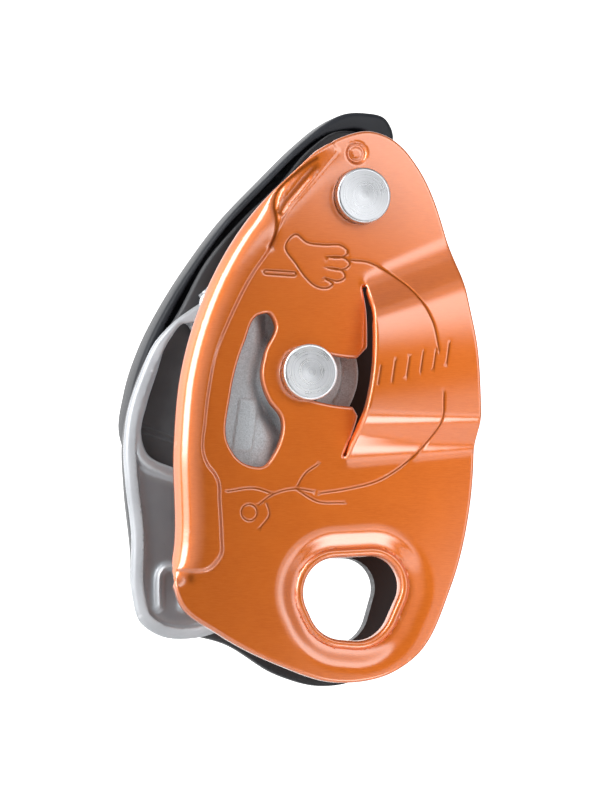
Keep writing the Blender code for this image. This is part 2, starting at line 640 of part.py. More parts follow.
def handle_pieces():
    """The folding handle: hub with a driving lug, steel arm, moulded grip, rivets and spring."""
    steel = satin_steel()
    half = LUG_HALF_WIDTH
    lug = arc(CAM_AXLE, LUG_TIP_R, LUG_ANGLE - half, LUG_ANGLE + half, 4)
    collar = arc(CAM_AXLE, 6.4, LUG_ANGLE + half + 8, LUG_ANGLE - half - 8 + 360, 22)
    hub = prism("handle_hub", lug + collar, [circle(CAM_AXLE, 4.3, 20)], 10.5, 12.0, steel, CAM_AXLE)
    sleeve = prism("hub_sleeve_guide", circle(CAM_AXLE, 6.0, 24), [circle(CAM_AXLE, 4.3, 20)],
                   11.0, 14.6, steel)
    boolean(hub, sleeve, "UNION")
    arm_holes = [circle(CAM_AXLE, 4.3, 20)] + [circle(spot, 1.8, 14) for spot in ARM_RIVETS]
    prism("handle_arm", hull_of_circles(ARM_CIRCLES, 28), arm_holes, 14.9, 16.1, steel, CAM_AXLE)
    nylon = black_nylon()
    grip = prism("handle_grip", curve_through(GRIP_OUTLINE, 3), [], GRIP_FRONT, GRIP_BACK, nylon, CAM_AXLE)
    hollow = prism("grip_hollow_guide", curve_through(GRIP_HOLLOW, 3), [], GRIP_FRONT - 1.0, GRIP_INNER, nylon)
    boolean(grip, hollow, "DIFFERENCE")
    for number, (centre, radius) in enumerate([(CAM_AXLE, 7.9)] + [(spot, 1.8) for spot in ARM_RIVETS]):
        hole = prism(f"grip_hole_guide_{number}", circle(centre, radius, 24), [], 15.0, GRIP_BACK + 1.0, nylon)
        boolean(grip, hole, "DIFFERENCE")
    for number, spot in enumerate(ARM_RIVETS, 1):
        rivet(f"handle_rivet_{number}", spot, 1.5, 2.6, 13.9, 14.6, 18.3, 18.9, turned_steel(), CAM_AXLE)
    coil("handle_return_spring", CAM_AXLE, 7.5, 0.4, 12.3, 14.6, 1.6, 20.0, spring_steel(), (0.3, 0.3),
         CAM_AXLE)


def build():
    for obj in list(bpy.data.objects):
        bpy.data.objects.remove(obj, do_unlink=True)
    front_plate()
    front_bush()
    fixed_plate()
    friction_plate()
    axles()
    small_frame_pieces()
    cam_pieces()
    handle_pieces()


build()
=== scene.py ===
"""Looks of the assisted-braking rope device: detailed pieces, materials, lights and camera.

The sheet pieces are built as a flat pattern of points that a depth function presses into shape.
Lengths are millimetres in the frame's own (x, y, z), and metres in the studio section; meshes are in metres.
"""
import json
import math

import bmesh
import bpy
import numpy as np
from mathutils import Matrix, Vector
from mathutils.geometry import delaunay_2d_cdt


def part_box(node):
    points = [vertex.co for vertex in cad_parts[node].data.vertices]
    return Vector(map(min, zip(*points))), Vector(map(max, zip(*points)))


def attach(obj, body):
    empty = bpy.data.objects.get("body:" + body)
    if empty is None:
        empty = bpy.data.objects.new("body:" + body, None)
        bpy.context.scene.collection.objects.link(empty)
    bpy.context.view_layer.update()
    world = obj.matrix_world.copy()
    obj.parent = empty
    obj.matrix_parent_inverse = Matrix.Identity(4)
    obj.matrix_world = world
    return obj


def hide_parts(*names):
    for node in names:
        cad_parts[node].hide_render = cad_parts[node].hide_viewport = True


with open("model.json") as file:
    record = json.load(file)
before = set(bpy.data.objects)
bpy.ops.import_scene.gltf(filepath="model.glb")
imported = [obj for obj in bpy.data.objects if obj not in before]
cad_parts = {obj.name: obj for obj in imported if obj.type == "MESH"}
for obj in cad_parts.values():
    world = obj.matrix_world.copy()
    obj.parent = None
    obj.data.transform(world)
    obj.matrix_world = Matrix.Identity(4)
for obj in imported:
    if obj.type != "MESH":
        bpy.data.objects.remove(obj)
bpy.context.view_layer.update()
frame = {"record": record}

MM = 0.001


def joint_axis(name):
    """A hinge's axis as (x, z) in millimetres."""
    spot = next(j for j in frame["record"]["behaviour"]["joints"] if j["name"] == name)["pos_m"]
    return spot[0] / MM, spot[2] / MM


def depths(node):
    """A node's front and back, as y in millimetres."""
    low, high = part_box(node)
    return low[1] / MM, high[1] / MM


TOP_AXLE = joint_axis("side_plate_swing")
CAM_AXLE = joint_axis("cam_pivot")
FIXED_FRONT, FIXED_BACK = depths("fixed_side_plate")
LINER_BACK = depths("rope_guide_disc")[1]
HEAD_FRONT = depths("side_plate_axle")[0]
GRIP_FRONT, GRIP_BACK = depths("handle_grip")
CAM_FRONT, CAM_BACK = depths("cam")
BUSH_FRONT = depths("side_plate_bush")[0]
PLATE_FRONT = BUSH_FRONT - 0.1
PLATE_THICK = 2.0
HEAD_BACK = PLATE_FRONT - 0.3


# ---------------------------------------------------------------- outlines

def curve_through(points, steps, closed=True):
    """Points on a smooth curve through (x, z) points at any spacing."""
    pts = np.array(points, float)
    if closed:
        pts = np.concatenate((pts[-1:], pts, pts[:2]))
    else:
        pts = np.concatenate((2 * pts[:1] - pts[1:2], pts, 2 * pts[-1:] - pts[-2:-1]))
    gaps = np.linalg.norm(np.diff(pts, axis=0), axis=1)[:, None]
    slopes = np.diff(pts, axis=0) / gaps
    tangents = (slopes[:-1] * gaps[1:] + slopes[1:] * gaps[:-1]) / (gaps[1:] + gaps[:-1])
    out = []
    for i in range(len(tangents) - 1):
        a, b = pts[i + 1], pts[i + 2]
        ta, tb = tangents[i] * gaps[i + 1], tangents[i + 1] * gaps[i + 1]
        for step in range(steps):
            t = step / steps
            point = ((2 * t ** 3 - 3 * t * t + 1) * a + (t ** 3 - 2 * t * t + t) * ta
                     + (3 * t * t - 2 * t ** 3) * b + (t ** 3 - t * t) * tb)
            out.append((float(point[0]), float(point[1])))
    if not closed:
        out.append(tuple(float(v) for v in points[-1]))
    return out


def circle(centre, radius, segments):
    turns = [2 * math.pi * i / segments for i in range(segments)]
    return [(centre[0] + radius * math.cos(a), centre[1] + radius * math.sin(a)) for a in turns]


def arc(centre, radius, start, end, segments):
    """Points on an arc, with angles in degrees from +X towards +Z."""
    turns = [math.radians(start + (end - start) * i / segments) for i in range(segments + 1)]
    return [(centre[0] + radius * math.cos(a), centre[1] + radius * math.sin(a)) for a in turns]


def around(centre, radius, angle):
    return arc(centre, radius, angle, angle, 1)[0]


def hull_of_circles(circles, segments):
    """The outline of a band stretched round circles given as (x, z, r)."""
    cloud = []
    for x, z, r in circles:
        cloud += circle((x, z), r, segments)
    cloud = sorted(set((round(x, 5), round(z, 5)) for x, z in cloud))

    def half(points):
        chain = []
        for p in points:
            while len(chain) > 1:
                (ax, az), (bx, bz) = chain[-2:]
                if (bx - ax) * (p[1] - az) - (bz - az) * (p[0] - ax) > 1e-9:
                    break
                chain.pop()
            chain.append(p)
        return chain[:-1]

    return half(cloud) + half(cloud[::-1])


def arc_slot(centre, radius, half_width, start, end, segments=16):
    """A curved slot with round ends, centred on an arc."""
    tip_a = around(centre, radius, end)
    tip_b = around(centre, radius, start)
    out = arc(centre, radius + half_width, start, end, segments)
    out += arc(tip_a, half_width, end, end + 180, 10)[1:-1]
    out += arc(centre, radius - half_width, end, start, segments)
    out += arc(tip_b, half_width, start + 180, start + 360, 10)[1:-1]
    return out


def resample(chain, spacing, closed=True):
    """The same line with points at an even spacing."""
    pts = np.array(chain + [chain[0]] if closed else chain, float)
    steps = np.linalg.norm(np.diff(pts, axis=0), axis=1)
    along = np.concatenate(([0], np.cumsum(steps)))
    count = max(int(round(along[-1] / spacing)), 3 if closed else 1)
    at = np.linspace(0, along[-1], count + 1)
    if closed:
        at = at[:-1]
    return list(zip(np.interp(at, along, pts[:, 0]), np.interp(at, along, pts[:, 1])))


def flow(points, spacing, steps=8, closed=True):
    """A smooth curve through (x, z) points, with points at an even spacing."""
    return resample(curve_through(points, steps, closed), spacing, closed)


def inside(points, loop):
    """Which of the (n, 2) points lie inside a closed loop."""
    hit = np.zeros(len(points), bool)
    ends = np.array(loop)
    for (ax, az), (bx, bz) in zip(np.roll(ends, 1, axis=0), ends):
        if az != bz:
            crosses = (az > points[:, 1]) != (bz > points[:, 1])
            hit ^= crosses & (points[:, 0] < (bx - ax) * (points[:, 1] - az) / (bz - az) + ax)
    return hit


def within(points, outline, holes):
    """Which points lie on a sheet: inside its outline and outside its holes."""
    keep = inside(points, outline)
    for hole in holes:
        keep &= ~inside(points, hole)
    return keep


def distance_to(points, chain, closed=True):
    """Distance from each (n, 2) point to a chain of straight pieces."""
    ends = np.array(chain, float)
    starts = np.roll(ends, 1, axis=0)
    if not closed:
        starts, ends = ends[:-1], ends[1:]
    best = np.full(len(points), 1e18)
    for a, b in zip(starts, ends):
        run = b - a
        rel = points - a
        share = np.clip(rel @ run / max(run @ run, 1e-12), 0, 1)
        off = rel - share[:, None] * run
        np.minimum(best, (off * off).sum(axis=1), out=best)
    return np.sqrt(best)


def to_line(points, line):
    return distance_to(points, line, closed=False)


def nearest(points, chains, closed=True):
    """Distance from each point to the nearest of several chains."""
    return np.min([distance_to(points, chain, closed) for chain in chains], axis=0)


def reach_from(points, centre):
    return np.hypot(points[:, 0] - centre[0], points[:, 1] - centre[1])


def offset_points(chain, gap, closed=True):
    """Points at a distance from a line, on both sides of it."""
    pts = np.array(chain, float)
    if closed:
        run = np.roll(pts, -1, axis=0) - np.roll(pts, 1, axis=0)
    else:
        run = np.gradient(pts, axis=0)
    run /= np.maximum(np.linalg.norm(run, axis=1), 1e-9)[:, None]
    side = np.stack((run[:, 1], -run[:, 0]), axis=1)
    return np.concatenate((pts + side * gap, pts - side * gap))


def smooth(value):
    """A soft ramp from 0 to 1."""
    t = np.clip(value, 0, 1)
    return t * t * (3 - 2 * t)


def bell(distance, width):
    """1 on a line, falling softly to 0 beside it."""
    return np.exp(-(distance / width) ** 2)


def facet(value, round_off):
    """A straight ramp from 0 to 1 with short rounded ends."""
    t = np.asarray(value, float)
    k = round_off
    low = (t + k) ** 2 / (4 * k)
    high = 1 - (1 + k - t) ** 2 / (4 * k)
    out = np.where(t < -k, 0.0, np.where(t < k, low, t))
    return np.where(t > 1 + k, 1.0, np.where(t > 1 - k, high, out))


def quarter_round(distance, radius):
    """How far a rounded edge has dropped at a distance from the edge."""
    reach = np.clip(1 - distance / radius, 0, 1)
    return radius * (1 - np.sqrt(np.clip(1 - reach ** 2, 0, 1)))


# ---------------------------------------------------------------- meshes

def link_object(name, data):
    obj = bpy.data.objects.new(name, data)
    bpy.context.scene.collection.objects.link(obj)
    return obj


def finished(name, verts, faces, mat, angle=40):
    """A smooth-shaded object from vertices in millimetres."""
    mesh = bpy.data.meshes.new(name)
    mesh.from_pydata([tuple(v) for v in np.asarray(verts) * MM], [], faces)
    mesh.validate()
    bm = bmesh.new()
    bm.from_mesh(mesh)
    bmesh.ops.recalc_face_normals(bm, faces=bm.faces[:])
    bm.to_mesh(mesh)
    bm.free()
    mesh.shade_smooth()
    mesh.set_sharp_from_angle(angle=math.radians(angle))
    mesh.materials.append(mat)
    return link_object(name, mesh)


ROW_RISE = 0.87
NOT_CROWDED = 0.97


def triangulate(outline, holes, extra):
    """Triangles of a flat region that use every extra point."""
    verts = []
    edges = []
    for loop in [outline, *holes]:
        first = len(verts)
        verts += loop
        edges += [(first + i, first + (i + 1) % len(loop)) for i in range(len(loop))]
    verts += [tuple(p) for p in extra]
    points, _, tris, _, _, _ = delaunay_2d_cdt([Vector(v) for v in verts], edges, [], 0, 1e-5)
    points = np.array([tuple(p) for p in points])
    tris = np.array([tuple(t) for t in tris])
    centres = points[tris].mean(axis=1)
    tris = tris[within(centres, outline, holes)]
    used = np.unique(tris)
    index = np.full(len(points), -1)
    index[used] = np.arange(len(used))
    return points[used], index[tris]


def pattern_points(outline, holes, spacing, edge_rows, lines=(), line_rows=(), extra=()):
    """A hexagonal grid, with rows of points along the edges and along engraved lines."""
    loops = [outline, *holes]
    box = np.array(outline)
    (x0, z0), (x1, z1) = box.min(axis=0), box.max(axis=0)
    rows = int((z1 - z0) / (spacing * ROW_RISE)) + 2
    cols = int((x1 - x0) / spacing) + 2
    r, c = np.meshgrid(np.arange(rows), np.arange(cols), indexing="ij")
    grid = np.stack((x0 + (c + 0.5 * (r % 2)) * spacing, z0 + r * spacing * ROW_RISE), axis=-1).reshape(-1, 2)
    grid = grid[within(grid, outline, holes)]
    for loop in loops:
        grid = grid[distance_to(grid, loop) > max(edge_rows) + spacing * 0.45]
    for line in lines:
        grid = grid[to_line(grid, line) > max(line_rows) + spacing * 0.35]
    groups = [grid]
    for gap in edge_rows:
        for loop in loops:
            row = offset_points(loop, gap)
            row = row[within(row, outline, holes)]
            groups.append(row[nearest(row, loops) > gap * NOT_CROWDED])
    for number, line in enumerate(lines):
        for gap in line_rows:
            row = np.array(line, float) if gap == 0 else offset_points(line, gap, closed=False)
            row = row[to_line(row, line) > gap * NOT_CROWDED - 0.001]
            for other in lines[:number]:
                row = row[to_line(row, other) > max(line_rows)]
            groups.append(row)
    groups += [np.array(e) for e in extra if len(e)]
    points = np.concatenate(groups)
    points = points[within(points, outline, holes)]
    return points[nearest(points, loops) > min(edge_rows) * 0.9]


# The mesh layer of painted shade: dark in the front plate's grooves, folds and tuck, and over the liner's
# flat face, where it also stands for the face's darker blasted finish.
SHADE_AND_BLAST = "painted_shade_and_blast"


def sheet_faces(tris, count):
    """Faces of a sheet's front, back and rims; each back point comes count places after its front point."""
    edges = np.sort(np.concatenate((tris[:, [0, 1]], tris[:, [1, 2]], tris[:, [2, 0]])), axis=1)
    edges, uses = np.unique(edges, axis=0, return_counts=True)
    faces = [tuple(t) for t in tris] + [(c + count, b + count, a + count) for a, b, c in tris]
    faces += [(a, b, b + count, a + count) for a, b in edges[uses == 1]]
    return [tuple(int(i) for i in f) for f in faces]


def at_depth(flat, y):
    """Flat (x, z) points moved to the depth y."""
    return np.stack((flat[:, 0], y, flat[:, 1]), axis=1)


def pressed_sheet(name, outline, holes, points, place, thickness, edge_radius, mat,
                  relief=None, shade_and_blast_map=None, back_radius=0.25):
    """A sheet of metal: place() presses the flat pattern into shape and relief() engraves its front."""
    flat, tris = triangulate(outline, holes, points)
    base = place(flat)
    corner = base[tris]
    normal = np.cross(corner[:, 1] - corner[:, 0], corner[:, 2] - corner[:, 0])
    normal[normal[:, 1] < 0] *= -1
    inward = np.zeros_like(base)
    for k in range(3):
        np.add.at(inward, tris[:, k], normal)
    inward /= np.maximum(np.linalg.norm(inward, axis=1), 1e-12)[:, None]
    gap = nearest(flat, [outline, *holes])
    drop = quarter_round(gap, edge_radius)
    if relief is not None:
        drop = drop + relief(flat)
    front = base + inward * drop[:, None]
    back = base + inward * (thickness - quarter_round(gap, back_radius))[:, None]
    obj = finished(name, np.concatenate((front, back)), sheet_faces(tris, len(flat)), mat)
    # Painted shade goes into a layer on the front face only.
    if shade_and_blast_map is not None:
        layer = obj.data.attributes.new(SHADE_AND_BLAST, "FLOAT", "POINT")
        values = np.concatenate((shade_and_blast_map(flat), np.zeros(len(flat))))
        layer.data.foreach_set("value", values.astype(np.float32))
    return obj


def lathe(name, centre, profile, mat, segments=96, closed=False, angle=35):
    """A profile of (radius, y) turned about an axis along Y."""
    verts = []
    faces = []
    rings = []
    for radius, y in profile:
        first = len(verts)
        loop = [centre] if radius == 0 else circle(centre, radius, segments)
        verts += [(x, y, z) for x, z in loop]
        rings.append(range(first, first + len(loop)))
    pairs = list(zip(rings, rings[1:]))
    if closed:
        pairs.append((rings[-1], rings[0]))
    for low, high in pairs:
        for i in range(segments):
            j = (i + 1) % segments
            corners = [low[i % len(low)], low[j % len(low)], high[j % len(high)], high[i % len(high)]]
            faces.append(tuple(dict.fromkeys(corners)))
    return finished(name, verts, faces, mat, angle)


def rounded(profile, radius, steps=4, closed=False):
    """A profile with its corners rounded."""
    pts = [np.array(p, float) for p in profile]
    out = []
    for i, p in enumerate(pts):
        if not closed and i in (0, len(pts) - 1):
            out.append(tuple(p))
            continue
        a = pts[i - 1] - p
        b = pts[(i + 1) % len(pts)] - p
        reach = min(radius, np.linalg.norm(a) * 0.45, np.linalg.norm(b) * 0.45)
        start = p + a / np.linalg.norm(a) * reach
        end = p + b / np.linalg.norm(b) * reach
        for k in range(steps + 1):
            t = k / steps
            out.append(tuple((1 - t) ** 2 * start + 2 * t * (1 - t) * p + t * t * end))
    return out


def washer(name, centre, inner, outer, y0, y1, mat, edge=0.12):
    profile = rounded([(inner, y0), (outer, y0), (outer, y1), (inner, y1)], edge, 3, closed=True)
    return lathe(name, centre, profile, mat, closed=True)


def solid_between(name, outline, holes, points, front, back, mat, angle=40):
    """A solid whose front and back are both depth functions over one flat pattern."""
    flat, tris = triangulate(outline, holes, points)
    verts = np.concatenate((at_depth(flat, front(flat)), at_depth(flat, back(flat))))
    return finished(name, verts, sheet_faces(tris, len(flat)), mat, angle)


def tube(name, path, radius, mat):
    """A round wire along (x, y, z) points in millimetres, as a closed mesh."""
    data = bpy.data.curves.new(name, "CURVE")
    data.dimensions = "3D"
    data.bevel_depth = radius * MM
    data.bevel_resolution = 5
    data.use_fill_caps = True
    spline = data.splines.new("POLY")
    spline.points.add(len(path) - 1)
    for point, co in zip(spline.points, path):
        point.co = (*(v * MM for v in co), 1.0)
    guide = bpy.data.objects.new(name + "_guide", data)
    mesh = bpy.data.meshes.new_from_object(guide)
    bpy.data.objects.remove(guide)
    mesh.materials.clear()
    mesh.materials.append(mat)
    mesh.shade_smooth()
    return link_object(name, mesh)


SPRING_LEG = 0.3


def coil(name, centre, radius, wire, y0, y1, turns, start, mat):
    """A torsion spring with a short straight leg at each end."""
    count = int(turns * 48)
    path = []
    for i in range(count + 1):
        x, z = around(centre, radius, start + 360 * turns * i / count)
        path.append(np.array((x, y0 + wire + (y1 - y0 - 2 * wire) * i / count, z)))

    def leg(end, before):
        return end + (end - before) / np.linalg.norm(end - before) * SPRING_LEG

    return tube(name, [leg(path[0], path[1]), *path, leg(path[-1], path[-2])], wire, mat)


# ---------------------------------------------------------------- materials

RINGS_PER_METRE = 7000.0


class Nodes:
    """A node tree, built a node at a time: a new material's, or the world's."""

    def __init__(self, name, world=None):
        self.owner = world or bpy.data.materials.new(name)
        self.owner.use_nodes = True
        self.tree = self.owner.node_tree
        self.coords = self.node("TexCoord").outputs["Generated" if world else "Object"]

    def put(self, socket, value):
        """Sets a socket to a number, list or colour tuple, or links it to another node's output."""
        if isinstance(value, tuple):
            socket.default_value = (*value, 1.0)
        elif isinstance(value, (int, float, list)):
            socket.default_value = value
        else:
            self.tree.links.new(value, socket)

    def node(self, kind, inputs=(), **settings):
        """A new node, with its settings and its (socket, value) inputs."""
        node = self.tree.nodes.new("ShaderNode" + kind)
        for key, value in settings.items():
            setattr(node, key, value)
        for key, value in inputs:
            self.put(node.inputs[key], value)
        return node

    def noise(self, size, detail=3.0, rough=0.55, stretch=(1, 1, 1), turn=(0, 0, 0)):
        """Noise with features of a size in millimetres."""
        scale = 1000.0 / size
        place = self.node("Mapping", (("Scale", [scale * s for s in stretch]), ("Vector", self.coords),
                                      ("Rotation", [math.radians(t) for t in turn])))
        inputs = ("Vector", place.outputs[0]), ("Scale", 1.0), ("Detail", detail), ("Roughness", rough)
        return self.node("TexNoise", inputs).outputs["Fac"]

    def math(self, kind, a, b=0.0, clamp=False):
        return self.node("Math", ((0, a), (1, b)), operation=kind, use_clamp=clamp).outputs[0]

    def plus(self, a, b):
        return self.math("ADD", a, b)

    def minus(self, a, b):
        return self.math("SUBTRACT", a, b)

    def times(self, a, b):
        return self.math("MULTIPLY", a, b)

    def band(self, value, low=0.3, high=0.7, to=(0.0, 1.0), kind="LINEAR"):
        """The value's range low..high mapped to another range."""
        inputs = (("Value", value), ("From Min", low), ("From Max", high), ("To Min", to[0]),
                  ("To Max", to[1]))
        return self.node("MapRange", inputs, interpolation_type=kind).outputs["Result"]

    def ramp(self, value, low, high):
        """A clamped ramp from 0 at low to 1 at high, with soft ends."""
        return self.band(value, low, high, kind="SMOOTHSTEP")

    def mix(self, share, a, b):
        """A colour between a and b."""
        return self.node("Mix", ((0, share), (6, a), (7, b)), data_type="RGBA").outputs[2]

    def axes(self):
        """The coordinates' own X, Y and Z."""
        return self.node("SeparateXYZ", ((0, self.coords),)).outputs

    def bump(self, height, distance, strength):
        inputs = ("Distance", distance * MM), ("Strength", strength), ("Height", height)
        return self.node("Bump", inputs).outputs["Normal"]

    def out(self, colour, roughness, normal, **sockets):
        """Wires the material's shader; what is the same all over goes on the shader's own sockets."""
        shader = self.tree.nodes["Principled BSDF"]
        for key, value in {"Base Color": colour, "Roughness": roughness, "Normal": normal, **sockets}.items():
            self.put(shader.inputs[key.replace("_", " ")], value)
        return self.owner


def edge_wear_and_sheen(n, low=0.53, high=0.6):
    """Where the surface is sharply convex, broken up by noise: worn edges, and on the dark plate also a
    painted edge highlight.
    """
    sharp = n.band(n.node("NewGeometry").outputs["Pointiness"], low, high)
    return n.math("MULTIPLY", sharp, n.band(n.noise(0.9, 4.0), 0.38, 0.62), clamp=True)


def shade_and_blast_share(n):
    """How much painted shade the mesh's own layer holds; on the liner it also marks the darker blasted face.
    """
    return n.node("Attribute", attribute_name=SHADE_AND_BLAST).outputs["Fac"]


def brushed(n, size, length, turn):
    """Fine straight brushing marks in the X-Z plane, tilted by turn degrees."""
    return n.noise(size, 2.0, 0.6, (size / length, 0.25, 1.0), (0, turn, 0))


# A tone scaled by a painted light factor: copies of one finish with different factors are the same metal
# painted lighter or darker.
def lit(light, *tone):
    return tuple(channel * light for channel in tone)


def orange_anodised():
    """Brushed orange under a clear coat; painted shade darkens it towards the left and in its grooves, folds
    and tuck, which also lose the coat.
    """
    n = Nodes("anodised_orange")
    marks = brushed(n, 0.20, 2.2, -7)
    fine = brushed(n, 0.11, 0.9, -10)
    cloud = n.noise(9.0)
    grain = n.plus(n.times(marks, 0.55), n.times(fine, 0.45))
    tone = n.mix(n.band(cloud), (0.77, 0.160, 0.008), (0.83, 0.186, 0.011))
    tone = n.mix(n.band(grain, 0.38, 0.62, (0.0, 0.55)), tone, (0.90, 0.234, 0.024))
    tone = n.mix(n.times(edge_wear_and_sheen(n), 0.3), tone, (0.98, 0.50, 0.28))
    # Painted shade: a dark tone where the shade layer lies, in the grooves, folds and tuck.
    shade_and_blast_map = shade_and_blast_share(n)
    tone = n.mix(shade_and_blast_map, tone, (0.17, 0.036, 0.005))
    # Painted shade: the tone is scaled from 0.80 at the left to 1.12 at the right, for the dimmer light on
    # the plate's left.
    painted_left_shade = n.band(n.axes()["X"], -0.028, 0.016, (0.80, 1.12))
    tone = n.node("VectorMath", ((0, tone), ("Scale", painted_left_shade)), operation="SCALE").outputs[0]
    coat = n.math("SUBTRACT", 1.0, n.times(shade_and_blast_map, 1.6), clamp=True)
    rough = n.plus(n.band(grain, 0.35, 0.65, (0.50, 0.56)), n.band(cloud, to=(-0.015, 0.015)))
    return n.out(tone, rough, n.bump(grain, 0.005, 0.2), Metallic=0.88, Coat_Weight=coat,
                 Coat_Roughness=0.13, Coat_IOR=2.25)


def satin_steel(name="satin_steel_sheet", light=1.0, metal=1.0):
    """Blasted sheet steel with faint scuffs, darker where the shade layer lies: painted shade, and on the
    liner also its darker blasted face.
    """
    n = Nodes(name)
    grain = n.noise(0.22)
    scuff = n.band(n.noise(1.3, 4.0, 0.7, (1.0, 1.0, 0.12), (0, 14, 0)), 0.58, 0.72)
    tone = n.mix(n.band(n.noise(6.0)), lit(light, 0.48, 0.50, 0.53), lit(light, 0.58, 0.60, 0.63))
    tone = n.mix(n.times(edge_wear_and_sheen(n), 0.5), tone, (0.82, 0.83, 0.85))
    # The shade layer's tone: painted shade on the liner's face, standing also for its darker blasted finish.
    tone = n.mix(shade_and_blast_share(n), tone, lit(light, 0.14, 0.175, 0.205))
    rough = n.plus(n.band(grain, to=(0.30, 0.40)), n.times(scuff, -0.06))
    return n.out(tone, rough, n.bump(grain, 0.012, 0.5), Metallic=metal)


def turned_steel(name, centre, light=1.0):
    """Lathe-turned steel with rings about an axis at (x, z) in millimetres."""
    n = Nodes(name)
    axes = n.axes()
    across = n.minus(axes["X"], centre[0] * MM)
    up = n.minus(axes["Z"], centre[1] * MM)
    reach = n.math("SQRT", n.plus(n.times(across, across), n.times(up, up)))
    inputs = ("Scale", 1.0), ("Detail", 3.0), ("W", n.times(reach, RINGS_PER_METRE))
    rings = n.node("TexNoise", inputs, noise_dimensions="1D").outputs["Fac"]
    cloud = n.noise(2.2, 4.0, 0.6)
    tone = n.mix(n.band(rings), lit(light, 0.50, 0.515, 0.54), lit(light, 0.64, 0.655, 0.68))
    tone = n.mix(n.times(n.band(cloud, 0.5, 0.75), 0.4), tone, (0.72, 0.73, 0.75))
    rough = n.plus(n.band(rings, to=(0.26, 0.36)), n.band(cloud, to=(-0.04, 0.05)))
    height = n.plus(rings, n.times(n.noise(0.12, 2.0), 0.3))
    return n.out(tone, rough, n.bump(height, 0.02, 0.6), Metallic=1.0)


def cast_steel():
    n = Nodes("cast_steel_grain")
    grain = n.noise(0.26, 4.0, 0.65)
    tone = n.mix(n.band(grain), (0.32, 0.355, 0.38), (0.62, 0.67, 0.71))
    tone = n.mix(n.times(n.band(n.noise(5.0), 0.35, 0.65), 0.3), tone, (0.46, 0.49, 0.51))
    height = n.plus(grain, n.times(n.noise(0.55, 2.0, 0.5), 0.6))
    return n.out(tone, n.band(grain, to=(0.46, 0.62)), n.bump(height, 0.05, 0.7), Metallic=0.2)


def grained(n, tone, grain, rough, depth, strength, **sockets):
    """The shader of a finish whose one fine grain sets its roughness and its relief."""
    return n.out(tone, n.band(grain, to=rough), n.bump(grain, depth, strength), **sockets)


def dark_anodised():
    """Dark grey at the left of the plate, with painted shade making it near black on the rest, where it lies
    behind the front plate, and pale edges that are partly wear and partly a painted highlight.
    """
    n = Nodes("anodised_dark")
    grain = n.noise(0.18)
    tone = n.mix(n.band(n.noise(7.0)), (0.068, 0.070, 0.075), (0.095, 0.098, 0.104))
    # Painted shade: the tone falls from x = -27 mm to near black at x = -17 mm and beyond, where the plate
    # lies behind the front plate.
    tone = n.mix(n.band(n.axes()["X"], -0.027, -0.017), tone, (0.008, 0.008, 0.010))
    # Pale sharp edges: partly wear and partly a painted edge highlight.
    tone = n.mix(n.times(edge_wear_and_sheen(n), 0.6), tone, (0.30, 0.31, 0.34))
    return grained(n, tone, grain, (0.34, 0.46), 0.012, 0.5, Metallic=0.0, Specular_IOR_Level=0.35)


def black_nylon():
    n = Nodes("moulded_black_nylon")
    grain = n.noise(0.24, 3.0, 0.5)
    tone = n.mix(n.band(n.noise(8.0)), (0.016, 0.018, 0.023), (0.024, 0.027, 0.034))
    tone = n.mix(n.times(edge_wear_and_sheen(n, 0.52, 0.62), 0.12), tone, (0.08, 0.09, 0.10))
    return grained(n, tone, grain, (0.36, 0.46), 0.02, 0.6, Metallic=0.0, Specular_IOR_Level=0.3)


def bronze():
    n = Nodes("sintered_bronze")
    grain = n.noise(0.2, 4.0)
    tone = n.mix(n.band(grain), (0.42, 0.25, 0.10), (0.66, 0.44, 0.20))
    return grained(n, tone, grain, (0.34, 0.5), 0.02, 0.6, Metallic=1.0)


def spring_steel():
    n = Nodes("drawn_spring_wire")
    grain = n.noise(0.1, 3.0, 0.5, (1, 0.4, 1))
    tone = n.mix(n.band(grain), (0.34, 0.35, 0.37), (0.56, 0.57, 0.60))
    return grained(n, tone, grain, (0.22, 0.34), 0.01, 0.5, Metallic=1.0)


ORANGE = orange_anodised()
STEEL = satin_steel()
# The light factors below paint lighter or darker copies of the same finishes for how brightly each part is
# lit.
LINER_STEEL = satin_steel("blasted_steel_liner", 0.92, 0.4)
BRIGHT_LIT_STEEL = satin_steel("satin_steel_washer", 1.15)
TOP_TURNED = turned_steel("turned_steel_top", TOP_AXLE, 1.15)
CAM_TURNED = turned_steel("turned_steel_cam", CAM_AXLE, 1.6)
CAST = cast_steel()
DARK = dark_anodised()
NYLON = black_nylon()
BRONZE = bronze()
WIRE = spring_steel()


def fit(obj, body, slot, *nodes):
    """Parents a piece to the body it moves with and hides the parts it stands for; slot, the finish's name,
    is not used.
    """
    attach(obj, body)
    if nodes:
        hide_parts(*nodes)
    return obj


# ---------------------------------------------------------------- front plate

PLATE_RIGHT = [(3.5, 85.4), (7.6, 84.3), (10.1, 82.5), (12.4, 79.8), (18.9, 64.4), (21.4, 52.8),
               (22.7, 46.0), (23.4, 37.7), (23.7, 28.5), (23.0, 17.8), (19.1, 1.9), (12.2, -10.8),
               (7.2, -13.9), (2.3, -15.2), (-3.0, -15.4), (-13.6, -12.3), (-25.1, -6.7), (-32.0, -1.6)]
PLATE_LEFT = [(-33.4, 3.6), (-32.8, 10.0), (-33.0, 27.0), (-31.6, 41.0), (-28.6, 51.5), (-22.0, 64.8),
              (-12.6, 76.2), (-6.1, 81.7), (-1.0, 84.4)]
EDGE_STEPS = 12
WINDOW = [(-15.5, 51.3), (-14.4, 49.6), (-16.3, 44.3), (-17.0, 40.0), (-15.6, 35.6), (-13.2, 32.4),
          (-14.2, 26.6), (-16.6, 23.7), (-20.8, 24.4), (-23.2, 27.4), (-22.9, 36.0), (-20.2, 46.0),
          (-17.6, 51.0)]
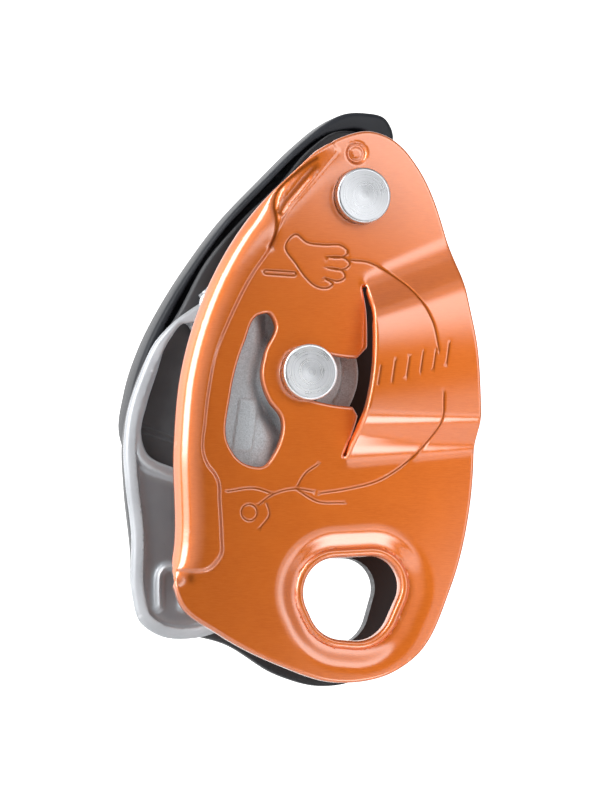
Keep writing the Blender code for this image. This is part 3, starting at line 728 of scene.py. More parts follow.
ATTACH_HOLE = [(-2.4, 0.8, 6.4), (4.2, 2.2, 5.4), (1.2, -1.0, 6.8), (-1.4, -1.1, 6.5)]
REAR_HOLE = [(-2.9, 1.0, 6.6), (4.2, 2.2, 5.5), (1.8, -1.7, 6.7), (-1.6, -1.1, 6.6)]
SLIT_LINE = [(2.4, 56.8), (3.2, 52.0), (3.35, 48.0), (3.3, 45.0), (2.6, 38.0), (0.9, 31.0), (-1.3, 25.6)]
SLIT_WIDTH = 0.5
BRIDGE_LEAN = 0.13
BRIDGE_LINES = (((2.5, 57.6), (18.2, 64.1)), ((4.0, 52.0), (20.0, 57.5)),
                ((1.1, 32.4), (22.4, 32.4)), ((-1.1, 25.0), (23.2, 27.6)))
BRIDGE_HEIGHT = 5.0
BRIDGE_CROWN = 0.75
FLANGE_WIDTH = 6.0
FLANGE_DEPTH = 4.9
SLOT_HALF_WIDTH = 4.4
AXLE_REACH = math.hypot(CAM_AXLE[0] - TOP_AXLE[0], CAM_AXLE[1] - TOP_AXLE[1])
DISH_WIDTH = 4.8
DISH_FLOOR = 1.8
DISH_DEPTH = 1.25
BEAD_HEIGHT = 0.7
BAND_STEP = 0.5
CONTOUR = [(-2.6, 81.2), (-5.4, 77.9), (-8.6, 74.1), (-12.1, 70.2), (-13.4, 68.2), (-14.2, 66.0),
           (-15.2, 64.0), (-19.3, 57.9), (-23.1, 50.5), (-25.9, 43.5), (-27.0, 38.1), (-27.8, 31.8),
           (-27.9, 24.9), (-27.2, 23.5), (-26.1, 22.2), (-25.3, 20.6), (-25.1, 17.4), (-24.7, 10.2),
           (-24.7, 7.8), (-25.7, 6.2), (-27.2, 4.9), (-28.7, 4.6), (-32.4, 4.7)]
BAND_BACK = [(-45.0, 4.7), (-45.0, 90.0), (-8.0, 90.0)]
HOLLOW_LINE = [(-6.9, 78.4), (-9.1, 75.6), (-10.8, 73.6), (-12.4, 71.7), (-13.4, 70.0)]
HOLLOW_HALF = 0.95
CREASE_LINE = [(-6.6, 80.0), (-9.1, 78.3), (-11.0, 76.7), (-12.8, 75.0), (-14.0, 73.0), (-14.4, 70.9),
               (-14.2, 68.6), (-14.5, 65.8), (-15.4, 63.6)]
DIMPLE = (1.0, 81.2)
TUCK = (-30.3, 3.2)
MARK_WIDTH = 0.17
MARK_DEPTH = 0.11
MARK_LINES = (
    [(0.1, 61.5), (2.9, 61.3), (6.2, 59.9), (9.5, 57.4), (12.2, 53.8), (14.1, 50.0), (15.2, 44.9)],
    [(16.2, 36.9), (16.0, 31.9), (14.0, 28.3), (9.4, 23.9), (4.8, 21.2), (0.0, 19.9), (-5.9, 18.9)])
BAR_START = (4.4, 40.2)
BAR_STEP = 2.5
BAR_RISE = 0.34
HAND = [(-12.6, 63.6), (-10.6, 66.0), (-8.6, 64.6), (-5.4, 64.2), (-1.6, 64.0), (-0.6, 63.0), (-1.6, 62.1),
        (-4.6, 62.0), (-1.0, 61.7), (-0.3, 60.8), (-1.2, 59.9), (-4.6, 60.0), (-1.6, 59.4), (-1.2, 58.5),
        (-2.2, 57.7), (-5.2, 58.1), (-3.6, 57.0), (-4.4, 56.4), (-6.6, 56.5), (-8.8, 58.2), (-10.6, 60.6)]
FIGURE_LINES = ([(-17.9, 16.4), (-14.8, 18.6), (-10.6, 19.6), (-7.4, 19.2)],
                [(-14.8, 18.6), (-18.4, 19.6), (-23.4, 19.0)], [(-16.4, 17.6), (-15.6, 14.8), (-17.2, 12.6)],
                [(-10.6, 19.6), (-8.6, 22.6), (-6.6, 24.0)], [(-10.6, 19.6), (-6.6, 17.4), (-1.6, 17.2)])


def slit_side(points):
    """How far each point lies to the right of the bridge's sheared left edge."""
    heights = [z for _, z in SLIT_LINE][::-1]
    edges = [x for x, _ in SLIT_LINE][::-1]
    return points[:, 0] - np.interp(points[:, 1], heights, edges)


def bridge_rise(points):
    """Height of the bridge over the flat plate, with two ramps and a crowned crest."""
    levels = []
    for (ax, az), (bx, bz) in BRIDGE_LINES:
        levels.append(az + (points[:, 0] - ax) * (bz - az) / (bx - ax))
    rise = facet((levels[0] - points[:, 1]) / (levels[0] - levels[1]), 0.34)
    fall = facet((points[:, 1] - levels[3]) / (levels[2] - levels[3]), 0.3)
    middle = (levels[1] + levels[2]) / 2
    across = np.clip((points[:, 1] - middle) / ((levels[1] - levels[2]) / 2), -1.3, 1.3)
    beyond = np.maximum(np.maximum(points[:, 1] - SLIT_LINE[0][1], SLIT_LINE[-1][1] - points[:, 1]), 0)
    side = smooth(0.5 + slit_side(points) / (0.02 + 2.2 * beyond))
    return (BRIDGE_HEIGHT - BRIDGE_CROWN * across ** 2) * np.minimum(rise, fall) * side


def flange_roll(points, flange):
    """How far the plate's left edge is rolled back, less towards both its ends."""
    reach = to_line(points, flange)
    share = np.clip(1 - reach / FLANGE_WIDTH, 0, 1)
    fade = smooth((82 - points[:, 1]) / 14) * smooth((points[:, 1] - 0.4) / 7)
    return FLANGE_DEPTH * fade * (1 - np.sqrt(np.clip(1 - share ** 2, 0, 1)))


def slit_outline():
    """The slit along the bridge joined to the curved slot that runs onto the cam's axle."""
    half = SLIT_WIDTH / 2
    inner_r = AXLE_REACH - SLOT_HALF_WIDTH
    outer_r = AXLE_REACH + SLOT_HALF_WIDTH
    slit = curve_through(SLIT_LINE, 10, closed=False)
    right = [(x + half, z) for x, z in slit]
    left = [(x - half, z) for x, z in slit]
    drop = [math.hypot(x - TOP_AXLE[0], z - TOP_AXLE[1]) for x, z in left]
    upper = [p for p, d in zip(left, drop) if d < inner_r - 2.0]
    lower = [p for p, d in zip(left, drop) if d > outer_r + 1.0]
    seat = math.degrees(math.atan2(CAM_AXLE[1] - TOP_AXLE[1], CAM_AXLE[0] - TOP_AXLE[0]))
    outer = arc(TOP_AXLE, outer_r, -92.0, seat, 14)
    inner = arc(TOP_AXLE, inner_r, seat, -91.0, 14)
    closed_end = arc(CAM_AXLE, SLOT_HALF_WIDTH, seat, seat - 180, 20)[1:-1]
    return right + lower[::-1] + outer + closed_end + inner + upper[::-1]


def capsule(a, b, radius):
    """A rounded bar's outline, closed by repeating its first point."""
    turn = math.degrees(math.atan2(b[1] - a[1], b[0] - a[0]))
    loop = arc(b, radius, turn - 90, turn + 90, 8) + arc(a, radius, turn + 90, turn + 270, 8)
    return loop + [loop[0]]


def engraved_lines():
    """Plain guide marks: the rope's path, a hand sign, a load sign and a row of bars on the bridge."""
    hand = curve_through(HAND, 5)
    head = circle((-19.4, 15.2), 1.5, 24)
    lines = [curve_through(line, 12, closed=False) for line in MARK_LINES]
    lines += [hand + [hand[0]], capsule((-16.4, 58.9), (-10.9, 58.7), 0.35), head + [head[0]]]
    lines += [curve_through(line, 8, closed=False) for line in FIGURE_LINES]
    for i in range(6):
        x = BAR_START[0] + BAR_STEP * i
        z = BAR_START[1] + BAR_RISE * (x - BAR_START[0])
        lines.append([(x - 0.25, z - 1.7), (x + 0.25, z + 1.7)])
    return [resample(line, 0.4, closed=False) for line in lines]


def front_plate():
    whole = curve_through(PLATE_RIGHT + PLATE_LEFT, EDGE_STEPS)
    flange = whole[EDGE_STEPS * len(PLATE_RIGHT):1 - EDGE_STEPS]
    outline = resample(whole, 0.5)
    hole = resample(hull_of_circles(ATTACH_HOLE, 96), 0.4)
    holes = [hole, flow(WINDOW, 0.45), resample(slit_outline(), 0.4),
             circle(TOP_AXLE, 4.6, 60)]
    contour = flow(CONTOUR, 0.45, 6, False)
    crease = flow(CREASE_LINE, 0.4, 6, False)
    hollow = flow(HOLLOW_LINE, 0.4, 6, False)
    marks = engraved_lines()
    band_region = contour + BAND_BACK
    extra = []
    for angle in range(12, 90, 6):
        inset = FLANGE_WIDTH * (1 - math.sin(math.radians(angle)))
        extra.append(offset_points(resample(flange, 0.8, closed=False), inset, closed=False))
    for start, end in BRIDGE_LINES:
        for share in (-0.5, 0.0, 0.5):
            extra.append([(x, z + share) for x, z in resample([start, end], 0.7, closed=False)])
    for radius in (0.5, 0.9, 1.2, 1.45, 1.65, 1.85, 2.05, 2.3, 2.6):
        extra.append(circle(DIMPLE, radius, 40))
    for gap in (1.32, 1.54, 1.72, 1.9, 2.15, 2.45, 4.2, 4.6, 5.0):
        extra.append(offset_points(hole, gap))
    points = pattern_points(outline, holes, 0.62, (0.1, 0.22, 0.36, 0.52, 0.72, 1.1),
                            [contour, crease, hollow, *marks], (0.0, 0.13, 0.27, 0.42, 0.65), extra)

    def place(flat):
        dish = DISH_DEPTH * facet((DISH_WIDTH - distance_to(flat, hole)) / (DISH_WIDTH - DISH_FLOOR), 0.42)
        gap = to_line(flat, contour)
        side = np.where(inside(flat, band_region), gap, -gap)
        proud = BAND_STEP * facet((side + 0.28) / 0.56, 0.3) * (0.35 + 0.65 * smooth((74.0 - flat[:, 1]) / 8))
        leaf = np.clip(1 - to_line(flat, hollow) / HOLLOW_HALF, 0, 1)
        trough = 0.5 * smooth(leaf) * smooth((79.6 - flat[:, 1]) / 4.0)
        fold = 0.34 * smooth((79.0 - flat[:, 1]) / 5.0)
        trough += fold * bell(to_line(flat, crease), 0.45)
        trough *= smooth((distance_to(flat, outline) - 0.3) / 1.0)
        reach = reach_from(flat, DIMPLE)
        dimple = 0.45 * (1 - smooth((reach - 1.5) / 0.7)) - 0.2 * (1 - smooth((reach - 0.9) / 0.5))
        rise = bridge_rise(flat)
        y = PLATE_FRONT - rise + flange_roll(flat, flange) + dish - proud + trough + dimple
        lean = BRIDGE_LEAN * rise * smooth(1 - slit_side(flat) / 9.0)
        return np.stack((flat[:, 0] - lean, y, flat[:, 1]), axis=1)

    def relief(flat):
        lip = np.clip(distance_to(flat, hole) / 0.85 - 1, -1, 1)
        bead = BEAD_HEIGHT * np.sqrt(np.clip(1 - lip ** 2, 0, 1))
        return MARK_DEPTH * bell(nearest(flat, marks, closed=False), MARK_WIDTH) - bead

    def shade_and_blast_map(flat):
        """Painted shade in the marks, the folds, the hollow and the tuck where the flange runs out."""
        fold = 0.85 * bell(to_line(flat, crease), 0.4)
        leaf = 0.6 * smooth(1.1 - to_line(flat, hollow) / HOLLOW_HALF)
        dark = np.maximum(0.8 * bell(nearest(flat, marks, closed=False), MARK_WIDTH), np.maximum(fold, leaf))
        dark *= smooth((distance_to(flat, outline) - 0.1) / 0.4)
        tuck = np.exp(-((flat[:, 0] - TUCK[0]) / 0.7) ** 2 - ((flat[:, 1] - TUCK[1]) / 0.9) ** 2)
        return np.maximum(dark, 0.8 * tuck)

    return pressed_sheet("front_plate_pressing", outline, holes, points, place, PLATE_THICK, 0.55, ORANGE,
                         relief, shade_and_blast_map)


fit(front_plate(), "side_plate", "orange_anodised", "moving_side_plate")
fit(washer("front_plate_bush", TOP_AXLE, 3.3, 4.3, -9.4, -7.2, BRONZE), "side_plate", "bronze",
    "side_plate_bush")


# ---------------------------------------------------------------- fixed frame

FIXED_OUTLINE = [(-28.6, 51.5), (-22.4, 62.5), (-16.4, 69.6), (-8.4, 77.4), (-2.2, 84.3), (2.6, 87.4),
                 (7.6, 87.0), (12.2, 80.0), (17.0, 66.0), (20.6, 52.0), (22.0, 38.0), (21.4, 20.0),
                 (17.0, 2.0), (12.0, -9.6), (5.7, -15.0), (-0.2, -16.0), (-8.8, -14.0), (-19.2, -8.2),
                 (-27.0, -6.3), (-34.0, -4.2), (-36.5, 1.2), (-36.8, 8.0), (-38.1, 20.0), (-38.4, 29.0),
                 (-36.6, 37.5), (-33.6, 44.6)]
LINER_OUTLINE = [(-24.6, 54.6), (-29.6, 51.0), (-33.2, 47.2), (-36.3, 40.8), (-38.6, 33.8), (-39.3, 27.0),
                 (-38.9, 21.0), (-37.8, 12.0), (-37.5, 0.0), (-36.2, -4.3), (-32.2, -7.1), (-26.0, -7.6),
                 (-20.8, -6.2), (-16.2, -2.2), (-14.4, 6.0), (-13.4, 15.0), (-15.4, 23.0), (-21.0, 28.2),
                 (-24.0, 35.0), (-24.0, 45.0), (-21.8, 50.6), (-19.4, 54.6), (-21.2, 57.0)]
LINER_WINDOW = [(-27.0, 50.4), (-30.4, 47.0), (-32.7, 41.0), (-34.6, 35.0), (-35.6, 30.0), (-34.4, 26.4),
                (-31.0, 24.6), (-27.4, 24.0), (-26.4, 28.0), (-26.0, 40.0), (-25.6, 48.4)]
LIP_SIDE = LINER_OUTLINE[-1:] + LINER_OUTLINE[:14]
LINER_FRONT = LINER_BACK - 1.4
FRAME_END = 27.4
RIB_ARCH = [(-32.4, -1.4), (-32.5, 2.2), (-32.2, 4.6), (-31.0, 5.8), (-29.2, 5.8), (-28.1, 4.6),
            (-27.8, 2.2), (-27.8, -1.4)]
RIDGES = ([(-35.6, 31.9), (-31.5, 30.5), (-27.0, 28.8)], [(-35.8, 30.9), (-31.8, 29.4), (-27.4, 27.8)])
RIVET_SPOTS = [(-22.3, 54.2), (-18.4, 14.4), (-20.0, 0.6)]
RIVET_R = 1.5
HEAD_R = 5.1
CAM_SHANK_R = 3.9
SLEEVE_BORE_R = 4.3
TOP_SHANK_R = 3.0
PIN_R = 0.5
CLEARANCE = 0.3
RELEASE_R = 10.6
RELEASE_PIN_R = 1.25
RELEASE_ANGLE = -60.0
DISC_R = 13.8
CAM_TRAVEL = 22.0
CAM_PIN_SPOT = around(CAM_AXLE, 8.0, 150.0)
GRIP_PIN_SPOT = around(CAM_AXLE, 9.6, 20.0)


def release_slot():
    return arc_slot(CAM_AXLE, RELEASE_R, RELEASE_PIN_R + CLEARANCE, RELEASE_ANGLE - CAM_TRAVEL - 1.5,
                    RELEASE_ANGLE + 1.5)


def clear_hole(spot, radius, segments):
    return circle(spot, radius + CLEARANCE, segments)


def rivet_holes():
    return [clear_hole(spot, RIVET_R, 32) for spot in RIVET_SPOTS]


def fixed_plate():
    """The flat rear plate with its rounded edges and two fine ridges behind the cam."""
    holes = [hull_of_circles(REAR_HOLE, 96), clear_hole(TOP_AXLE, TOP_SHANK_R, 48),
             clear_hole(CAM_AXLE, CAM_SHANK_R, 60), release_slot(), clear_hole(CAM_PIN_SPOT, PIN_R, 20),
             clear_hole(GRIP_PIN_SPOT, PIN_R, 20), *rivet_holes()]
    holes = [resample(hole, 0.5) for hole in holes]
    outline = flow(FIXED_OUTLINE, 0.6)
    points = pattern_points(outline, holes, 2.2, (0.1, 0.28, 0.5),
                            [resample(line, 0.5, closed=False) for line in RIDGES], (0.0, 0.14, 0.3, 0.5))

    def front(flat):
        low = FIXED_FRONT + quarter_round(distance_to(flat, outline), 0.5)
        for line in RIDGES:
            low = low - 0.3 * bell(to_line(flat, line), 0.3)
        return low

    def back(flat):
        return FIXED_BACK - quarter_round(distance_to(flat, outline), 0.5)

    return solid_between("fixed_plate_blank", outline, holes, points, front, back, DARK)


def friction_plate():
    """The pressed steel liner: a hemmed lip on its outer side, a window framed at the left and a rib."""
    outline = flow(LINER_OUTLINE, 0.5)
    window = flow(LINER_WINDOW, 0.4)
    holes = [window, *rivet_holes()]
    lip = flow(LIP_SIDE, 0.5, closed=False)
    hood = flow(RIB_ARCH, 0.4, closed=False)
    extra = [offset_points(lip, gap, closed=False) for gap in (0.2, 0.45, 0.75, 1.1, 1.5, 1.9, 2.3, 2.7, 3.1)]
    extra += [offset_points(window, gap) for gap in (1.6, 2.0, 2.4, 2.9)]
    points = pattern_points(outline, holes, 0.5, (0.1, 0.3, 0.6, 0.9, 1.3), [hood], (0.0, 0.25, 0.5, 0.8),
                            extra)

    def place(flat):
        gap = to_line(flat, lip)
        rim = distance_to(flat, window)
        frame_side = smooth((-flat[:, 0] - FRAME_END) / 1.4)
        hem = (0.3 + 0.9 * np.clip(gap / 2.1, 0, 1)) * smooth((2.9 - gap) / 0.7)
        framed = (0.3 + 0.9 * np.clip(gap / 3.0, 0, 1)) * smooth((3.0 - rim) / 1.2) * frame_side
        hem = np.maximum(hem, framed)
        rolled = quarter_round(gap, 1.1)
        lead = 1.1 * quarter_round(rim, 1.1) * frame_side
        rib = bell(to_line(flat, hood), 0.62)
        y = LINER_FRONT - hem - rib + rolled + lead
        return at_depth(flat, np.maximum(y, LINER_FRONT - 1.4))

    # Painted shade over the liner's recessed flat face, away from its hem, window frame and rib; it also
    # stands for the face's darker blasted finish against the polished hem.
    def shade_and_blast_map(flat):
        near = np.minimum(to_line(flat, lip), distance_to(flat, window) + 0.2)
        flat_part = 1 - bell(to_line(flat, hood), 0.9)
        return 0.62 * smooth((near - 2.0) / 2.4) * flat_part

    return pressed_sheet("friction_plate_pressing", outline, holes, points, place, 1.3, 0.45, LINER_STEEL,
                         shade_and_blast_map=shade_and_blast_map)


def headed_axle(name, centre, shank, tail, mat):
    """A turned head with faint rings, a soft chamfer and a centre mark, on its shank."""
    radius = HEAD_R
    face = [(0, HEAD_FRONT + 0.02), (0.3, HEAD_FRONT)]
    r = 0.6
    while r < radius - 0.6:
        face += [(r, HEAD_FRONT + 0.018), (r + 0.12, HEAD_FRONT)]
        r += 0.34
    rim = [(radius - 0.42, HEAD_FRONT), (radius - 0.24, HEAD_FRONT + 0.04), (radius - 0.1, HEAD_FRONT + 0.14),
           (radius - 0.02, HEAD_FRONT + 0.28), (radius, HEAD_FRONT + 0.42), (radius, HEAD_BACK - 0.2),
           (radius - 0.1, HEAD_BACK), (shank, HEAD_BACK)]
    return lathe(name, centre, face + rim + tail, mat, 128, angle=50)


def spring_washer():
    profile = rounded([(3.4, -7.15), (6.4, -6.95), (6.4, -6.75), (3.4, -6.85)], 0.06, 3, closed=True)
    return lathe("spring_washer_ring", TOP_AXLE, profile, WIRE, closed=True)


def guide_disc():
    """The dark disc under the cam, with a turned step near its rim."""
    holes = [clear_hole(CAM_AXLE, CAM_SHANK_R, 60), release_slot(), clear_hole(CAM_PIN_SPOT, PIN_R, 20)]
    holes = [resample(hole, 0.4) for hole in holes]
    outline = resample(circle(CAM_AXLE, DISC_R, 240), 0.5)
    rows = [circle(CAM_AXLE, DISC_R - inset, 160) for inset in (0.5, 1.0, 1.3, 1.6, 2.0, 2.4)]
    points = pattern_points(outline, holes, 1.6, (0.1, 0.25, 0.4), (), (), rows)

    def place(flat):
        return at_depth(flat, LINER_FRONT + 0.3 * smooth((12.4 - reach_from(flat, CAM_AXLE)) / 0.8))

    return pressed_sheet("guide_disc_turned", outline, holes, points, place, 1.1, 0.3, DARK)


def friction_rivet(number, spot):
    end = depths(f"friction_plate_rivet_{number}")[1]
    profile = [(0, 4.2), (0.9, 4.24), (1.5, 4.34), (2.0, 4.5), (2.35, 4.72), (2.5, 4.95), (2.45, 5.0),
               (RIVET_R, 5.0), (RIVET_R, end - 0.12), (RIVET_R - 0.12, end), (0.5, end), (0.3, end - 0.12),
               (0, end - 0.15)]
    return lathe(f"liner_rivet_{number}", spot, profile, TOP_TURNED, 48)


def pin(name, spot, radius, y0, y1, mat):
    profile = rounded([(0, y0), (radius, y0), (radius, y1), (0, y1)], radius * 0.25, 3)
    return lathe(name, spot, profile, mat, 32)


fit(fixed_plate(), "frame", "dark_anodised", "fixed_side_plate")
fit(friction_plate(), "frame", "satin_steel", "friction_plate")
AXLE_END = depths("side_plate_axle")[1]
fit(headed_axle("top_axle_turned", TOP_AXLE, TOP_SHANK_R,
                [(TOP_SHANK_R, AXLE_END - 0.15), (TOP_SHANK_R - 0.15, AXLE_END), (0, AXLE_END)], TOP_TURNED),
    "frame", "turned_steel", "side_plate_axle")
CAM_AXLE_END = depths("cam_axle")[1]
fit(headed_axle("cam_axle_turned", CAM_AXLE, CAM_SHANK_R,
                [(CAM_SHANK_R, 17.5), (5.1, 17.5), (5.2, 17.6), (5.2, 18.0), (5.05, 18.35), (4.7, 18.58),
                 (4.3, CAM_AXLE_END), (0.9, CAM_AXLE_END), (0.6, CAM_AXLE_END - 0.25),
                 (0, CAM_AXLE_END - 0.3)], CAM_TURNED), "frame", "turned_steel", "cam_axle")
fit(spring_washer(), "frame", "spring_steel", "axle_spring_washer")
fit(washer("spacer_sleeve_turned", TOP_AXLE, 3.4, 5.0, -6.4, LINER_BACK, BRIGHT_LIT_STEEL, 0.2), "frame",
    "satin_steel", "axle_spacer_sleeve")
fit(washer("retaining_washer_ring", CAM_AXLE, SLEEVE_BORE_R, 7.4, 16.4, 17.2, BRIGHT_LIT_STEEL, 0.18), "frame",
    "satin_steel", "handle_retaining_washer")
fit(washer("thrust_washer_ring", CAM_AXLE, SLEEVE_BORE_R, 6.6, 9.8, 10.2, BRONZE, 0.1), "frame",
    "bronze", "handle_thrust_washer")
fit(guide_disc(), "frame", "dark_anodised", "rope_guide_disc")
for number, spot in enumerate(RIVET_SPOTS, 1):
    fit(friction_rivet(number, spot), "frame", "turned_steel", f"friction_plate_rivet_{number}")
fit(pin("cam_spring_dowel", CAM_PIN_SPOT, PIN_R, 3.2, 9.4, BRIGHT_LIT_STEEL), "frame", "satin_steel",
    "cam_spring_pin")
fit(pin("handle_spring_dowel", GRIP_PIN_SPOT, PIN_R, 7.1, 14.0, BRIGHT_LIT_STEEL), "frame", "satin_steel",
    "handle_spring_pin")


# ---------------------------------------------------------------- cam

CAM_FACE = [(-16.6, 54.4), (-21.4, 48.4), (-24.2, 40.0), (-25.2, 31.0), (-23.6, 24.4), (-19.4, 21.2),
            (-13.0, 21.6), (-8.6, 27.0), (-4.0, 33.6), (-0.7, 38.6), (-0.6, 43.6), (-4.0, 48.6),
            (-10.0, 53.4)]
CAM_SEAT = [(-16.8, 55.0), (-21.8, 48.6), (-24.8, 40.0), (-25.8, 31.0), (-24.1, 23.9), (-19.4, 20.6),
            (-12.4, 20.8), (-5.4, 27.6), (0.6, 33.6), (3.2, 40.4), (1.4, 47.6), (-4.0, 52.4), (-10.4, 55.0)]
CAM_VALLEY = [(-14.6, 52.0), (-14.0, 44.0), (-15.4, 39.0), (-14.4, 34.0), (-11.6, 29.4), (-12.0, 24.0)]
CAM_BORE_R = 5.5
SEAT_STEP = 2.4
TAG = (-19.3, 31.2)
TAG_LEAN = 0.15


def cam_casting():
    """The cast cam: a domed face that falls away round the axle boss, over a wider rope seat."""
    outline = flow(CAM_SEAT, 0.45)
    face = flow(CAM_FACE, 0.45)
    bore = circle(CAM_AXLE, CAM_BORE_R, 72)
    boss = circle(CAM_AXLE, 8.2, 90)
    extra = [offset_points(face, gap) for gap in (0.0, 0.15, 0.4, 0.8, 1.3, 1.9)]
    extra += [offset_points(boss, gap) for gap in (0.1, 0.4)]
    tag_grid = [(x, z) for x in np.arange(-22.6, -16.2, 0.3) for z in np.arange(25.8, 36.8, 0.3)]
    extra.append(tag_grid)
    points = pattern_points(outline, [bore], 0.7, (0.12, 0.3, 0.6, 1.0), (), (), extra)

    def front(flat):
        rim = distance_to(flat, face)
        on_face = inside(flat, face)
        rim_in = np.where(on_face, rim, -rim)
        step = facet((rim_in + 0.25) / 0.7, 0.3)
        dome = quarter_round(np.maximum(rim_in, 0), 2.6) * on_face * 0.55
        valley = 3.4 * bell(to_line(flat, CAM_VALLEY), 1.7)
        valley *= smooth((reach_from(flat, CAM_AXLE) - 7.4) / 1.6) * smooth(rim_in / 3.0)
        across = np.abs(flat[:, 0] - TAG[0] - TAG_LEAN * (flat[:, 1] - TAG[1])) / 1.75
        tag = np.maximum(across, np.abs(flat[:, 1] - TAG[1]) / 4.5)
        dome = dome - 0.32 * smooth((1.12 - tag) / 0.14)
        low = CAM_FRONT + SEAT_STEP + quarter_round(distance_to(flat, outline), 0.8)
        return low - step * SEAT_STEP + (dome + valley) * step

    def back(flat):
        reach = reach_from(flat, CAM_AXLE)
        spring_pocket = 3.0 * smooth((8.8 - reach) / 0.25) * smooth((reach - 5.9) / 0.1)
        return CAM_BACK - quarter_round(distance_to(flat, outline), 0.8) - spring_pocket

    return solid_between("cam_casting", outline, [bore], points, front, back, CAST)


fit(cam_casting(), "cam", "cast_steel", "cam")
fit(washer("cam_bush_sleeve", CAM_AXLE, CAM_SHANK_R + CLEARANCE, 5.2, CAM_FRONT + 0.1, CAM_BACK - 0.1,
           BRONZE, 0.25), "cam", "bronze", "cam_bush")
fit(pin("release_pin_ground", around(CAM_AXLE, RELEASE_R, RELEASE_ANGLE), RELEASE_PIN_R, -0.6, 11.9,
        CAM_TURNED), "cam", "turned_steel", "cam_release_pin")
fit(coil("cam_torsion_spring", CAM_AXLE, 6.75, 0.4, 2.3, 4.8, 1.7, 160.0, WIRE), "cam", "spring_steel",
    "cam_return_spring")


# ---------------------------------------------------------------- handle

GRIP_OUTLINE = [(14.5, 88.5), (13.1, 90.7), (9.0, 91.6), (4.9, 91.2), (1.0, 89.1), (-2.7, 86.1),
                (-10.5, 78.5), (-18.3, 70.3), (-24.1, 62.6), (-29.1, 54.9), (-33.4, 46.6), (-36.2, 38.0),
                (-36.9, 30.0), (-35.8, 27.2), (-31.0, 25.6), (-22.0, 27.0), (-14.4, 25.4), (-7.0, 24.6),
                (1.6, 28.4), (6.4, 35.4), (7.4, 44.0), (6.4, 53.0), (8.2, 66.0), (12.4, 80.0)]
GRIP_HOLLOW = [(11.2, 86.6), (8.4, 88.3), (4.2, 88.0), (0.0, 86.4), (-3.9, 83.4), (-11.5, 75.8),
               (-19.2, 67.5), (-24.4, 60.0), (-28.8, 52.2), (-32.1, 44.8), (-34.6, 37.0), (-35.2, 31.0),
               (-34.0, 28.6), (-30.6, 27.6), (-22.0, 28.8), (-14.4, 27.2), (-7.4, 26.4), (0.4, 29.8),
               (4.7, 36.2), (5.6, 44.0), (4.6, 53.0), (6.4, 66.4), (10.4, 80.4)]
GRIP_INNER = 16.4
ARM_CIRCLES = [(CAM_AXLE[0], CAM_AXLE[1], 9.0), (-15.0, 62.0, 5.2)]
ARM_RIVETS = [(-12.4, 54.4), (-15.2, 62.0)]
ARM_FRONT, ARM_BACK = 14.9, 16.1
LUG_ANGLE = 160.0
LUG_HALF = 10.0
GRIP_BORE_R = 7.9
ARM_RIVET_BORE_R = 1.8


def arm_rivet_holes():
    return [circle(spot, ARM_RIVET_BORE_R, 32) for spot in ARM_RIVETS]


def grip():
    """The moulded tray: rounded rim, fine step inside it and a crowned back."""
    outline = flow(GRIP_OUTLINE, 0.6)
    hollow = flow(GRIP_HOLLOW, 0.6)
    holes = [circle(CAM_AXLE, GRIP_BORE_R, 80), *arm_rivet_holes()]
    extra = [offset_points(hollow, gap) for gap in (0.02, 0.12, 0.28, 0.5, 0.8, 1.1)]
    points = pattern_points(outline, holes, 1.3, (0.08, 0.2, 0.38, 0.6, 0.9, 1.25, 1.7), (), (), extra)

    def front(flat):
        wall = distance_to(flat, hollow)
        rim = GRIP_FRONT + quarter_round(distance_to(flat, outline), 1.1) + quarter_round(wall, 0.3)
        floor = GRIP_INNER - quarter_round(np.maximum(wall - 0.02, 0), 1.0)
        return np.where(inside(flat, hollow), np.minimum(floor, GRIP_INNER), rim)

    def back(flat):
        edge = distance_to(flat, outline)
        crown = 0.35 * smooth(1 - edge / 7.0)
        hub_edge = 0.25 * quarter_round(reach_from(flat, CAM_AXLE) - GRIP_BORE_R, 0.8)
        return GRIP_BACK - crown - quarter_round(edge, 1.3) - hub_edge

    return solid_between("grip_moulding", outline, holes, points, front, back, NYLON, 50)


def hub():
    """The stamped hub with its driving lug, and the sleeve that turns on the axle."""
    outline = arc(CAM_AXLE, 12.2, LUG_ANGLE - LUG_HALF, LUG_ANGLE + LUG_HALF, 6)
    outline += arc(CAM_AXLE, 6.4, LUG_ANGLE + LUG_HALF + 8, LUG_ANGLE - LUG_HALF - 8 + 360, 60)
    outline = resample(outline, 0.45)
    bore = circle(CAM_AXLE, SLEEVE_BORE_R, 60)
    extra = [circle(CAM_AXLE, r, 72) for r in (5.6, 5.85, 5.98, 6.02, 6.12)]
    points = pattern_points(outline, [bore], 0.9, (0.1, 0.25), (), (), extra)

    def front(flat):
        return 10.5 + quarter_round(distance_to(flat, outline), 0.25)

    def back(flat):
        reach = reach_from(flat, CAM_AXLE)
        return np.where(reach < 6.0, 14.6 - 0.2 * smooth((reach - 5.6) / 0.4), 12.0)

    return solid_between("hub_stamping", outline, [bore], points, front, back, BRIGHT_LIT_STEEL)


def arm():
    """The flat arm that joins the hub to the grip, rounded on both faces."""
    outline = resample(hull_of_circles(ARM_CIRCLES, 96), 0.7)
    holes = [resample(hole, 0.5) for hole in (circle(CAM_AXLE, SLEEVE_BORE_R, 60), *arm_rivet_holes())]
    points = pattern_points(outline, holes, 2.0, (0.08, 0.2))

    def place(flat):
        return at_depth(flat, np.full(len(flat), ARM_FRONT))

    return pressed_sheet("arm_stamping", outline, holes, points, place, ARM_BACK - ARM_FRONT, 0.2, STEEL,
                         back_radius=0.2)


def handle_rivet(number, spot):
    profile = [(0, 13.9), (1.2, 13.94), (1.9, 14.06), (2.4, 14.25), (2.6, 14.45), (2.6, 14.6), (1.5, 14.6),
               (1.5, 18.3), (2.6, 18.3), (2.6, 18.4), (2.4, 18.62), (1.9, 18.79), (1.2, 18.87), (0, 18.9)]
    return lathe(f"grip_rivet_{number}", spot, profile, CAM_TURNED, 56)


